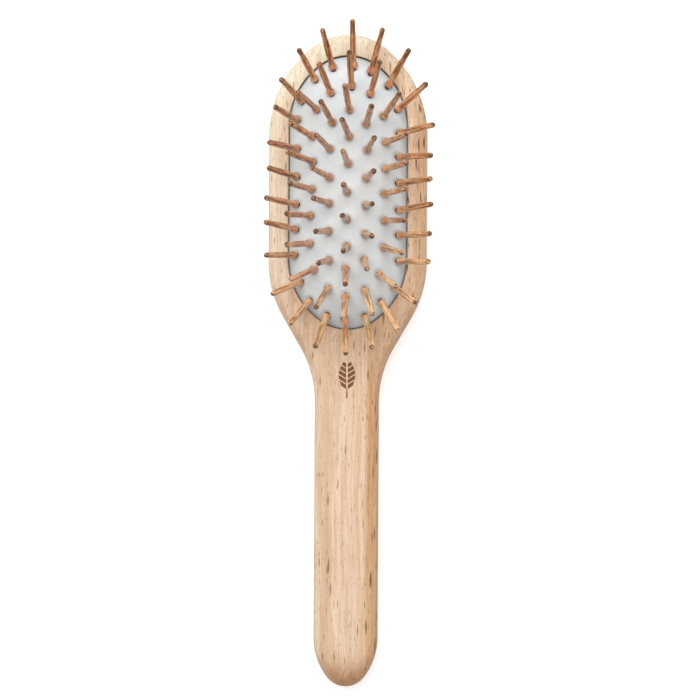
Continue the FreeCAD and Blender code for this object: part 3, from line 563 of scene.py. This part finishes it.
def rubber():
    """Soft, pale cool-grey rubber with a faint bloom."""
    m = Nodes("grey_rubber")
    p = m.coords()
    big, _ = m.noise(m.vmul(p, (0.06, 0.06, 0.06)), 1.0, 3.0)
    small, _ = m.noise(m.vmul(p, (0.5, 0.5, 0.5)), 1.0, 4.0, 0.6)
    grain, _ = m.noise(m.vmul(p, (6.0, 6.0, 6.0)), 1.0, 3.0, 0.6)
    base = m.mix(m.range(big, 0.38, 0.62), srgb(206, 213, 214), srgb(215, 220, 220))
    base = m.mix(m.range(small, 0.4, 0.65, 0.0, 0.28), base, srgb(201, 208, 210))
    base = m.mix(m.range(grain, 0.45, 0.75, 0.0, 0.12), base, srgb(186, 190, 190))
    m.put(m.bsdf.inputs["Base Color"], base)
    m.put(m.bsdf.inputs["Roughness"], m.range(small, 0.3, 0.7, 0.58, 0.68))
    m.bsdf.inputs["Specular IOR Level"].default_value = 0.35
    m.bsdf.inputs["Subsurface Weight"].default_value = 0.06
    m.bsdf.inputs["Subsurface Radius"].default_value = (0.002, 0.002, 0.002)
    m.bump(m.math("ADD", m.math("MULTIPLY", grain, 0.6), small), 0.2, 0.00006)
    return m.mat


def pin_wood():
    """Turned hardwood, reddish brown. pin_co is the place in the pin's own frame, in mm; tone varies from pin to pin,
    and a brightness attribute multiplies the colour with painted light and shade.
    """
    m = Nodes("pin_wood")
    p = m.attr("pin_co").outputs["Vector"]
    tone = m.attr("tone").outputs["Fac"]
    x, y, z = m.split(p)
    streak, _ = m.noise(m.vmul(p, (1.5, 1.5, 0.09)), 1.0, 3.0, 0.6)
    fine, _ = m.noise(m.vmul(p, (5.0, 5.0, 0.20)), 1.0, 2.0, 0.55)
    patch, _ = m.noise(m.vmul(p, (0.5, 0.5, 0.25)), 1.0, 2.0)
    blush = m.attr("blush").outputs["Fac"]
    painted_shade_and_tone = m.attr("painted_shade_and_tone").outputs["Fac"]
    red = m.mix(m.range(streak, 0.40, 0.59), srgb(136, 74, 32), srgb(228, 157, 98))
    gold = m.mix(m.range(streak, 0.40, 0.59), srgb(172, 130, 82), srgb(238, 204, 156))
    base = m.mix(tone, red, gold)
    base = m.mix(m.math("MULTIPLY", blush, 0.55), base, m.mix(m.range(streak, 0.38, 0.60), srgb(184, 118, 82), srgb(238, 180, 142)))
    base = m.mix(m.range(patch, 0.50, 0.66, 0.0, 0.45), base, srgb(238, 192, 148))
    cracks = m.math("MULTIPLY", m.range(fine, 0.50, 0.64, 0.0, 0.90), m.math("MULTIPLY_ADD", tone, -0.60, 1.0))
    base = m.mix(cracks, base, srgb(86, 44, 14))
    # darker end grain at the tip, a paler bulb, and a painted contact shadow darkening the foot where it meets the
    # rubber
    bulb = m.range(z, 3.8, 2.4)
    base = m.mix(m.math("MULTIPLY", bulb, 0.40), base, srgb(216, 158, 120))
    tip = m.range(z, 18.3, 19.7)
    base = m.mix(m.math("MULTIPLY", tip, m.range(patch, 0.38, 0.58, 0.15, 0.92)), base, srgb(72, 44, 30))
    foot = m.range(z, 1.1, 0.35)
    base = m.mix(m.math("MULTIPLY", foot, 0.75), base, srgb(104, 64, 44))
    # painted light and shade: the colour multiplied by each point's brightness
    grey = m.n("ShaderNodeCombineXYZ")
    for k in range(3):
        m.link(painted_shade_and_tone, grey.inputs[k])
    base = m.mix(1.0, base, grey.outputs[0], "MULTIPLY")
    m.put(m.bsdf.inputs["Base Color"], base)
    m.put(m.bsdf.inputs["Roughness"], m.range(fine, 0.3, 0.8, 0.24, 0.40))
    m.bsdf.inputs["Specular IOR Level"].default_value = 0.42
    m.bsdf.inputs["Coat Weight"].default_value = 0.15
    m.bsdf.inputs["Coat Roughness"].default_value = 0.12
    m.bump(m.math("ADD", m.math("MULTIPLY", fine, 0.5), m.math("MULTIPLY", streak, 0.5)), 0.35, 0.00008)
    return m.mat


BEECH = beech("beech")
BURNT = beech("beech_burnt", burnt=True)
RECESS_WOOD_PAINTED_SHADE = beech("beech_recess_painted_shade", raw_and_painted_shade=True)
RUBBER_MAT = rubber()
PIN_MAT = pin_wood()


# ------------------------------------------------------------------ the wooden body
def leaf_regions():
    """Closed loops of a plain burnt leaf: lobes either side of a midrib, and a stem. Centre of the mark at 0, -5.4."""
    cy, half, R = -5.4, 6.3, 7.9
    off = math.sqrt(R * R - half * half)

    def width(y):
        d = y - cy
        return math.sqrt(max(R * R - d * d, 0)) - off if abs(d) < half else 0.0

    rib, gap, slope = 0.28, 0.24, 0.62
    feet = [cy - half + 1.1 + 1.95 * k for k in range(6)]      # where the side veins leave the midrib
    regions = []
    for side in (-1, 1):
        for k in range(5):
            lo, hi = feet[k] + gap, feet[k + 1] - gap
            # the vein lines rise outwards: y = foot + slope * (|x| - rib)
            low_line = lambda u, lo=lo: lo + slope * (u - rib)
            high_line = lambda u, hi=hi: hi + slope * (u - rib)

            def reach(line):
                u = rib
                while u < width(line(u)) - 0.12 and u < 5:
                    u += 0.02
                return u
            u_lo, u_hi = reach(low_line), reach(high_line)
            if u_lo < rib + 0.35:
                continue
            lower = [(rib + (u_lo - rib) * t / 5, low_line(rib + (u_lo - rib) * t / 5)) for t in range(6)]
            upper = [(rib + (u_hi - rib) * t / 5, high_line(rib + (u_hi - rib) * t / 5)) for t in range(5, -1, -1)]
            y0, y1 = lower[-1][1], upper[0][1]
            rim = []
            for t in range(1, 5):
                yy = y0 + (y1 - y0) * t / 5
                rim.append((max(width(yy) - 0.12, rib + 0.05), yy))
            loop = lower + rim + upper
            # drop points that fall together
            clean = [loop[0]]
            for q in loop[1:]:
                if math.hypot(q[0] - clean[-1][0], q[1] - clean[-1][1]) > 0.03:
                    clean.append(q)
            if math.hypot(clean[0][0] - clean[-1][0], clean[0][1] - clean[-1][1]) < 0.03:
                clean.pop()
            loop = [(side * a, b) for a, b in clean]
            if side < 0:
                loop.reverse()
            regions.append(loop)
    foot = cy - half
    stem = [(-0.24, foot - 2.1), (0.20, foot - 2.15), (0.24, foot - 1.0), (0.19, foot + 0.3), (0.12, foot + 1.75),
            (-0.12, foot + 1.75), (-0.19, foot + 0.3), (-0.26, foot - 1.0)]
    regions.append(stem)
    return regions


def make_body():
    b = Build()
    steps = 12
    rings = []
    for k in range(steps + 1):                                    # back round
        a = math.pi / 2 * k / steps
        rings.append(b.ring(body_outline(BACK_R * (1 - math.sin(a))), BACK_R * (1 - math.cos(a))))
    for k in range(1, 3):                                         # side
        rings.append(b.ring(body_outline(0.0), BACK_R + (T - FRONT_R - BACK_R) * k / 3))
    for k in range(steps + 1):                                    # front round
        a = math.pi / 2 * k / steps
        rings.append(b.ring(body_outline(FRONT_R * (1 - math.cos(a))), T - FRONT_R * (1 - math.sin(a))))
    for low, high in zip(rings, rings[1:]):
        b.bridge(low, high)
    rnd = random.Random(5)
    b.fill(rings[0], up=False)
    # opening: eased edge, wall, groove, wall, floor
    inner = []
    for k in range(5):
        a = math.pi / 2 * k / 4
        inner.append(b.ring(oval(-OPEN_EASE * (1 - math.sin(a))), T - OPEN_EASE * (1 - math.cos(a))))
    zt, zb = T - GROOVE_TOP, T - GROOVE_TOP - GROOVE_H
    for off, z in ((0, T - RIM_DEPTH), (0, zt), (-GROOVE_REACH, zt), (-GROOVE_REACH, zb), (0, zb), (0, T - RECESS)):
        inner.append(b.ring(oval(off), z))
    for high, low in zip(inner, inner[1:]):
        b.bridge(low, high, mat=2)
        # the wall faces the inside of the recess
        n = len(high)
        for k in range(len(b.f) - n, len(b.f)):
            b.f[k] = tuple(reversed(b.f[k]))
    b.fill(inner[-1], up=True, mat=2)
    # burnt leaf, sunk a little way into the flat front
    holes = [inner[0]]
    for loop in leaf_regions():
        top = b.ring(loop, T)
        cx, cy = sum(p[0] for p in loop) / len(loop), sum(p[1] for p in loop) / len(loop)
        low = b.ring([(cx + (x - cx) * 0.93, cy + (y - cy) * 0.93) for x, y in loop], T - 0.18)
        start = len(b.f)
        b.bridge(low, top, mat=1)
        for k in range(start, len(b.f)):
            b.f[k] = tuple(reversed(b.f[k]))
        b.fill(low, up=True, mat=1)
        holes.append(top)
    b.fill(rings[-1], holes, up=True)
    obj = b.object("handle_body_wood", [BEECH, BURNT, RECESS_WOOD_PAINTED_SHADE])
    # crisp edges only at the mark and in the groove
    obj.data.set_sharp_from_angle(angle=math.radians(38))
    return obj


body = make_body()
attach(body, "brush_body")
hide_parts("handle_body")

# ------------------------------------------------------------------ pins: places and directions
def pin_frame(x, y, lean, heading):
    lean, heading = math.radians(lean), math.radians(heading)
    d = Vector((math.sin(lean) * math.sin(heading), math.sin(lean) * math.cos(heading), math.cos(lean)))
    foot = Vector((x, y + OPEN_Y, RIM_Z + crown_at(inset_at(x, y))))
    return foot, d


PIN_AT = {name: pin_frame(x, y, lean, heading) for name, x, y, lean, heading in PINS}


# ------------------------------------------------------------------ the rubber cushion
def swell(r):
    """Height of the soft seat the rubber makes round a pin, by distance from its axis (mm)."""
    return -0.26 * math.exp(-(r / 1.75) ** 4) + 0.13 * math.exp(-((r - 2.45) / 0.75) ** 2)


def surface(x, y):
    """Height of the cushion's outer surface with its collars."""
    z = RIM_Z + crown_at(inset_at(x, y - OPEN_Y))
    for foot, d in NEAR.get((int(x // 6), int(y // 6)), ()):
        # distance from the pin's axis, in the crown's own plane near the foot
        px, py = x - foot.x, y - foot.y
        r = math.hypot(px, py)
        if r < 5.5:
            z += swell(r)
    return z


NEAR = {}
for foot, d in PIN_AT.values():
    for i in range(-1, 2):
        for j in range(-1, 2):
            NEAR.setdefault((int(foot.x // 6) + i, int(foot.y // 6) + j), []).append((foot, d))


def make_cushion():
    pts, loops = [], []

    def add_loop(points):
        start = len(pts)
        pts.extend(points)
        loops.append(list(range(start, start + len(points))))
        return loops[-1]

    rim_pts = oval(SKIRT_GAP)
    rim = add_loop(rim_pts)
    hole_loops = []
    seg = 32
    for foot, d in PIN_AT.values():
        hole_loops.append(add_loop([(foot.x + 0.98 * math.cos(2 * math.pi * k / seg), foot.y + 0.98 * math.sin(2 * math.pi * k / seg))
                                    for k in range(seg)]))
    taken = []
    for foot, d in PIN_AT.values():
        for ring_no, rr in enumerate((1.12, 1.3, 1.52, 1.8, 2.15, 2.6, 3.15)):
            n = seg if ring_no < 5 else 26
            for k in range(n):
                a = 2 * math.pi * (k + 0.5 * (ring_no % 2)) / n
                q = (foot.x + rr * math.cos(a), foot.y + rr * math.sin(a))
                if inset_at(q[0], q[1] - OPEN_Y) > SKIRT_GAP + 0.18:
                    taken.append(q)
    pts.extend(taken)
    # rings near the rim, then an even field
    for i, inset in enumerate((0.45, 0.8, 1.25, 1.8, 2.45)):
        for q in oval(inset, 0.8):
            if all(math.hypot(q[0] - f.x, q[1] - f.y) > 3.3 for f, _ in PIN_AT.values()):
                pts.append(q)
    step = 0.85
    row = 0
    yy = OPEN_Y - 50
    while yy < OPEN_Y + 50:
        xx = -22 + (step / 2 if row % 2 else 0)
        while xx < 22:
            if inset_at(xx, yy - OPEN_Y) > 2.9 and all(math.hypot(xx - f.x, yy - f.y) > 3.5
                                                        for f, _ in NEAR.get((int(xx // 6), int(yy // 6)), ())):
                pts.append((xx, yy))
            xx += step
        yy += step * 0.866
        row += 1
    edges = []
    for loop in loops:
        n = len(loop)
        edges += [(loop[k], loop[(k + 1) % n]) for k in range(n)]
    out_v, _, out_f, orig, _, _ = delaunay_2d_cdt([Vector(p) for p in pts], edges, [], 0, 1e-5)
    new_of = {}
    for k, src in enumerate(orig):
        for s in src:
            new_of[s] = k
    flat = [(p[0], p[1]) for p in out_v]
    feet = [(f.x, f.y) for f, _ in PIN_AT.values()]
    faces = []
    for f in out_f:
        cx, cy = sum(flat[i][0] for i in f) / len(f), sum(flat[i][1] for i in f) / len(f)
        if inset_at(cx, cy - OPEN_Y) < SKIRT_GAP - 0.02:
            continue
        if any(math.hypot(cx - u, cy - v) < 0.973 for u, v in feet):        # ears just inside a hole's loop reach 0.967
            continue
        a, b, c = (flat[i] for i in f[:3])
        if (b[0] - a[0]) * (c[1] - a[1]) - (b[1] - a[1]) * (c[0] - a[0]) < 0:
            f = list(reversed(f))
        faces.append(tuple(f))
    n = len(flat)
    e = 0.05
    top, low = [], []
    for x, y in flat:
        z = surface(x, y)
        gx = (crown_at(inset_at(x + e, y - OPEN_Y)) - crown_at(inset_at(x - e, y - OPEN_Y))) / (2 * e)
        gy = (crown_at(inset_at(x, y + e - OPEN_Y)) - crown_at(inset_at(x, y - e - OPEN_Y))) / (2 * e)
        nn = Vector((-gx, -gy, 1)).normalized()
        zz = RIM_Z + crown_at(inset_at(x, y - OPEN_Y))
        # each hole follows its pin's lean through the rubber, and the lean fades out round it
        way, tx, ty = nn, 0.0, 0.0
        for foot, d in NEAR.get((int(x // 6), int(y // 6)), ()):
            r = math.hypot(x - foot.x, y - foot.y)
            if r < 3.1:
                w = min(1.0, (3.1 - r) / 1.8)
                w = w * w * (3 - 2 * w)
                way = nn.lerp(d / d.dot(nn), w)
                tx, ty = (z - zz) * d.x / d.z * w, (z - zz) * d.y / d.z * w
        top.append((x + tx, y + ty, z))
        low.append((x - way.x * RUBBER, y - way.y * RUBBER, zz - way.z * RUBBER))
    verts = top + low
    out = list(faces) + [tuple(reversed([i + n for i in f])) for f in faces]
    # walls of the pin holes
    for loop in hole_loops:
        ids = [new_of[i] for i in loop]
        m = len(ids)
        for k in range(m):
            a, b = ids[k], ids[(k + 1) % m]
            out.append((a, b, b + n, a + n))
    ids = [new_of[i] for i in rim]
    m = len(ids)
    for k in range(m):
        out.append((ids[(k + 1) % m], ids[k], ids[k] + n, ids[(k + 1) % m] + n))
    obj = new_object("rubber_cushion_skin", verts, out)
    obj.data.materials.append(RUBBER_MAT)
    obj.data.set_sharp_from_angle(angle=math.radians(55))
    return obj


def make_lip():
    """The cushion's foot: a skirt that stands in the recess and a lip that sits in the wood's groove."""
    b = Build()
    zt, zb = T - GROOVE_TOP - 0.1, T - GROOVE_TOP - 0.1 - LIP_H
    loops = [b.ring(oval(inset), z) for inset, z in (
        (1.6, RIM_Z - 0.03), (0.45, RIM_Z - 0.03), (SKIRT_GAP + 0.08, RIM_Z - 0.06), (SKIRT_GAP, RIM_Z - 0.22), (SKIRT_GAP, zt),
        (-LIP_REACH + 0.15, zt), (-LIP_REACH, zt - 0.15), (-LIP_REACH, zb + 0.15), (-LIP_REACH + 0.15, zb), (1.6, zb))]
    for p, q in zip(loops, loops[1:] + loops[:1]):
        n = len(p)
        for k in range(n):
            b.f.append((p[k], q[k], q[(k + 1) % n], p[(k + 1) % n]))
            b.m.append(0)
    obj = b.object("rubber_cushion_lip", [RUBBER_MAT])
    obj.data.set_sharp_from_angle(angle=math.radians(50))
    return obj


cushion = make_cushion()
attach(cushion, "brush_body")
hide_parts("rubber_cushion")
lip = make_lip()
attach(lip, "brush_body")
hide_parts("rubber_cushion")
LEADER = [j for j in frame["joints"] if j.get("deforming_nodes")][0]
LEAD_NAME = LEADER["child"].split("_")[1]
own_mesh(cushion)


# ------------------------------------------------------------------ the turned pins
def turned_profile():
    """(distance from the rubber, radius) down the pin: head, neck, bulb, barrel-shaped shaft and rounded tip."""
    rows = [(-3.85, 0.0), (-3.85, 0.8), (-3.80, 1.02), (-3.55, 1.2), (-3.2, 1.3), (-2.75, 1.3), (-2.55, 1.18), (-2.4, 0.92),
            (-2.3, 0.86), (-1.2, 0.85), (-0.2, 0.85), (0.28, 0.85)]
    (z0, r0), (z1, r1), (z2, r2) = (0.35, 0.85), (1.35, 1.55), (3.1, 1.06)
    low = ((r1 - r0) ** 2 + (z1 - z0) ** 2) / (2 * (r1 - r0))
    high = ((r1 - r2) ** 2 + (z2 - z1) ** 2) / (2 * (r1 - r2))
    for k in range(1, 8):
        z = z0 + (z1 - z0) * k / 8
        rows.append((z, r1 - low + math.sqrt(low ** 2 - (z1 - z) ** 2)))
    for k in range(0, 8):
        z = z1 + (z2 - z1) * k / 8
        rows.append((z, r1 - high + math.sqrt(high ** 2 - (z - z1) ** 2)))
    rows += [(3.1, 1.075), (3.5, 1.055)]
    for k in range(1, 15):
        t = k / 15
        z = 3.1 + (16.0 - 3.1) * t
        if z > 3.6:
            rows.append((z, 1.06 + (1.0 - 1.06) * t + 0.12 * 4 * t * (1 - t)))
    rows += [(15.9, 1.0), (16.6, 1.0), (17.4, 1.02), (18.1, 1.045), (18.6, 1.05), (18.9, 1.035), (19.2, 0.97), (19.45, 0.86),
             (19.65, 0.72), (19.82, 0.53), (19.94, 0.31), (20.0, 0.0)]
    return tuple(rows)


PROFILE = turned_profile()


def pin_mesh(name, foot, d, rnd):
    """One turned pin as verts, faces and local places."""
    seg = 22
    turn = Vector((0, 0, 1)).rotation_difference(d).to_matrix()
    spin = rnd.uniform(0, 2 * math.pi)
    bend = rnd.uniform(0.02, 0.30)
    bend_a = rnd.uniform(0, 2 * math.pi)
    fat = rnd.uniform(0.965, 1.035)
    ripple = [rnd.uniform(-0.03, 0.03) for _ in range(10)]
    oval_k, oval_a = rnd.uniform(0.0, 0.035), rnd.uniform(0, math.pi)
    off = Vector((rnd.uniform(-50, 50), rnd.uniform(-50, 50), 0))
    dense = []
    for (z0, r0), (z1, r1) in zip(PROFILE, PROFILE[1:]):
        k = max(1, int(math.ceil((z1 - z0) / 0.8)))
        dense += [(z0 + (z1 - z0) * t / k, r0 + (r1 - r0) * t / k) for t in range(k)]
    dense.append(PROFILE[-1])
    verts, local = [], []
    rows = []
    for z, r in dense:
        if r == 0:
            rows.append([len(verts)])
            pts = [(0.0, 0.0)]
        else:
            rr = r
            if 3.0 < z < 19.2:
                u = (z - 3.0) / 16.2 * (len(ripple) - 1)
                i = min(int(u), len(ripple) - 2)
                f = u - i
                f = f * f * (3 - 2 * f)
                rr = r * fat * (1 + ripple[i] * (1 - f) + ripple[i + 1] * f)
            rows.append(list(range(len(verts), len(verts) + seg)))
            pts = []
            for k in range(seg):
                a = spin + 2 * math.pi * k / seg
                q = rr * (1 + oval_k * math.cos(2 * (a - oval_a)))
                pts.append((q * math.cos(a), q * math.sin(a)))
        t = max(0.0, (z - 2.0) / 18.0)
        sway = bend * (t * t - 0.15 * t)
        for px, py in pts:
            v = Vector((px + sway * math.cos(bend_a), py + sway * math.sin(bend_a), z))
            local.append((px + off.x, py + off.y, z))
            verts.append(foot + turn @ v)
    faces = []
    for a, b in zip(rows, rows[1:]):
        if len(a) == 1:
            faces += [(a[0], b[(k + 1) % seg], b[k]) for k in range(seg)]
        elif len(b) == 1:
            faces += [(a[k], a[(k + 1) % seg], b[0]) for k in range(seg)]
        else:
            faces += [(a[k], a[(k + 1) % seg], b[(k + 1) % seg], b[k]) for k in range(seg)]
    return verts, faces, local


def tone_of(foot, rnd):
    """Pins nearer the handle and on the right are more golden, those at the head's top are redder."""
    up = foot.y - OPEN_Y
    low = min(max((-24 - up) / 14, 0.0), 1.0)
    t = 0.27 + 0.28 * (10 - up) / 60 + 0.15 * foot.x / 20 + 0.30 * low + 0.20 * low * (foot.x > 0) + rnd.uniform(-0.26, 0.26)
    top = min(max((up - 18) / 18, 0.0), 1.0)
    inner = math.exp(-(foot.x / 9.0) ** 2) * (1 - low) * (1 - 0.7 * top)
    # painted light and shade: each pin gets a brightness, partly random tone, darker for the pins in the middle and
    # across the lower middle rows, lighter at the top left; along the pin its tip is darker at the head's top and
    # lighter on the right
    painted_shade_and_tone = 1.00 - 0.02 * top - 0.10 * inner + 0.02 * low + 0.03 * foot.x / 20 + rnd.uniform(-0.10, 0.07)
    painted_shade_and_tone -= 0.08 * math.exp(-((up + 14) / 15.0) ** 2) * (1 if foot.x > -8 else 0.6)
    painted_shade_and_tone += 0.07 * top * (foot.x < -3)
    painted_tip_light_and_shade = -0.20 * top + 0.10 * max(foot.x / 18, 0.0) * (1 - top) + rnd.uniform(-0.05, 0.05)
    return min(max(t, 0.0), 1.0), rnd.uniform(0.0, 1.0) ** 2, painted_shade_and_tone, painted_tip_light_and_shade


groups = {}
paired = {n for pair in PAIRS for n in pair}
for left, right in PAIRS:
    groups["pins_%s_%s" % (left, right)] = [left, right]
for name, *_ in PINS:
    if name not in paired:
        groups["pin_" + name] = [name]
for node, members in sorted(groups.items()):
    verts, faces, local, tones, blushes, painted_shade_and_tones = [], [], [], [], [], []
    for name in members:
        rnd = random.Random("pin " + name)
        foot, d = PIN_AT[name]
        tone = tone_of(foot, rnd)
        v, f, l = pin_mesh(name, foot, d, rnd)
        base = len(verts)
        verts += v
        local += l
        tones += [tone[0]] * len(v)
        blushes += [tone[1]] * len(v)
        # painted light and shade: the pin's brightness, with the tip's painted shift in brightness fading in from 7 to
        # 17 mm up the pin
        painted_shade_and_tones += [tone[2] * (1 + tone[3] * min(max((q[2] - 7) / 10, 0.0), 1.0)) for q in l]
        faces += [tuple(i + base for i in face) for face in f]
    obj = new_object("turned_" + node, verts, faces)
    co = obj.data.attributes.new("pin_co", "FLOAT_VECTOR", "POINT")
    co.data.foreach_set("vector", [c for v in local for c in v])
    at = obj.data.attributes.new("tone", "FLOAT", "POINT")
    at.data.foreach_set("value", tones)
    at = obj.data.attributes.new("blush", "FLOAT", "POINT")
    at.data.foreach_set("value", blushes)
    at = obj.data.attributes.new("painted_shade_and_tone", "FLOAT", "POINT")
    at.data.foreach_set("value", painted_shade_and_tones)
    obj.data.materials.append(PIN_MAT)
    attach(obj, node)
    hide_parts(node)

# ------------------------------------------------------------------ floor, light and camera
floor_mat = Nodes("floor")
floor_mat.bsdf.inputs["Base Color"].default_value = (0.80, 0.80, 0.80, 1)
floor_mat.bsdf.inputs["Roughness"].default_value = 0.9
floor_mat.bsdf.inputs["Specular IOR Level"].default_value = 0.0
floor_mat.bsdf.inputs["Emission Color"].default_value = (1, 1, 1, 1)
floor_mat.bsdf.inputs["Emission Strength"].default_value = 0.45
floor = new_object("floor", [(-4000, -4000, -0.05), (4000, -4000, -0.05), (4000, 4000, -0.05), (-4000, 4000, -0.05)],
                   [(0, 1, 2, 3)], smooth=False)
floor.data.materials.append(floor_mat.mat)
floor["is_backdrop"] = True

world = bpy.data.worlds.new("studio")
scene.world = world
world.use_nodes = True
world.node_tree.nodes["Background"].inputs[0].default_value = (1.0, 1.0, 1.0, 1)
world.node_tree.nodes["Background"].inputs[1].default_value = 0.42


def area(name, at, target, size, power, colour=(1, 1, 1)):
    light = bpy.data.lights.new(name, "AREA")
    light.shape = "RECTANGLE"
    light.size, light.size_y = size
    light.energy = power
    light.color = colour
    obj = bpy.data.objects.new(name, light)
    obj.location = at
    obj.rotation_euler = (Vector(target) - Vector(at)).to_track_quat("-Z", "Y").to_euler()
    scene.collection.objects.link(obj)
    return obj


area("key", (-0.17, 0.52, 0.97), (0.0, 0.02, 0.0), (1.45, 1.0), 14.6)
area("fill", (0.55, -0.3, 0.6), (0.0, 0.0, 0.0), (0.7, 0.7), 0.8, (1.0, 0.95, 0.90))

camera = bpy.data.cameras.new("camera")
camera.sensor_width = 36.0
camera.lens = 98.387
camera.clip_start, camera.clip_end = 0.01, 50.0
cam = bpy.data.objects.new("camera", camera)
cam.location = (0.00105, 0.003889, 0.715)
cam.rotation_euler = (0.0, 0.0, math.radians(0.33))
scene.collection.objects.link(cam)
scene.camera = cam
scene.view_settings.view_transform = "Standard"
scene.view_settings.look = "None"
scene.view_settings.exposure = 0.0
scene.view_settings.gamma = 1.0

listed = lambda b: [[round(float(c), 6) for c in corner] for corner in b]
{"cad_box": listed(CAD_BOX), "visual_box": listed(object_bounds())}
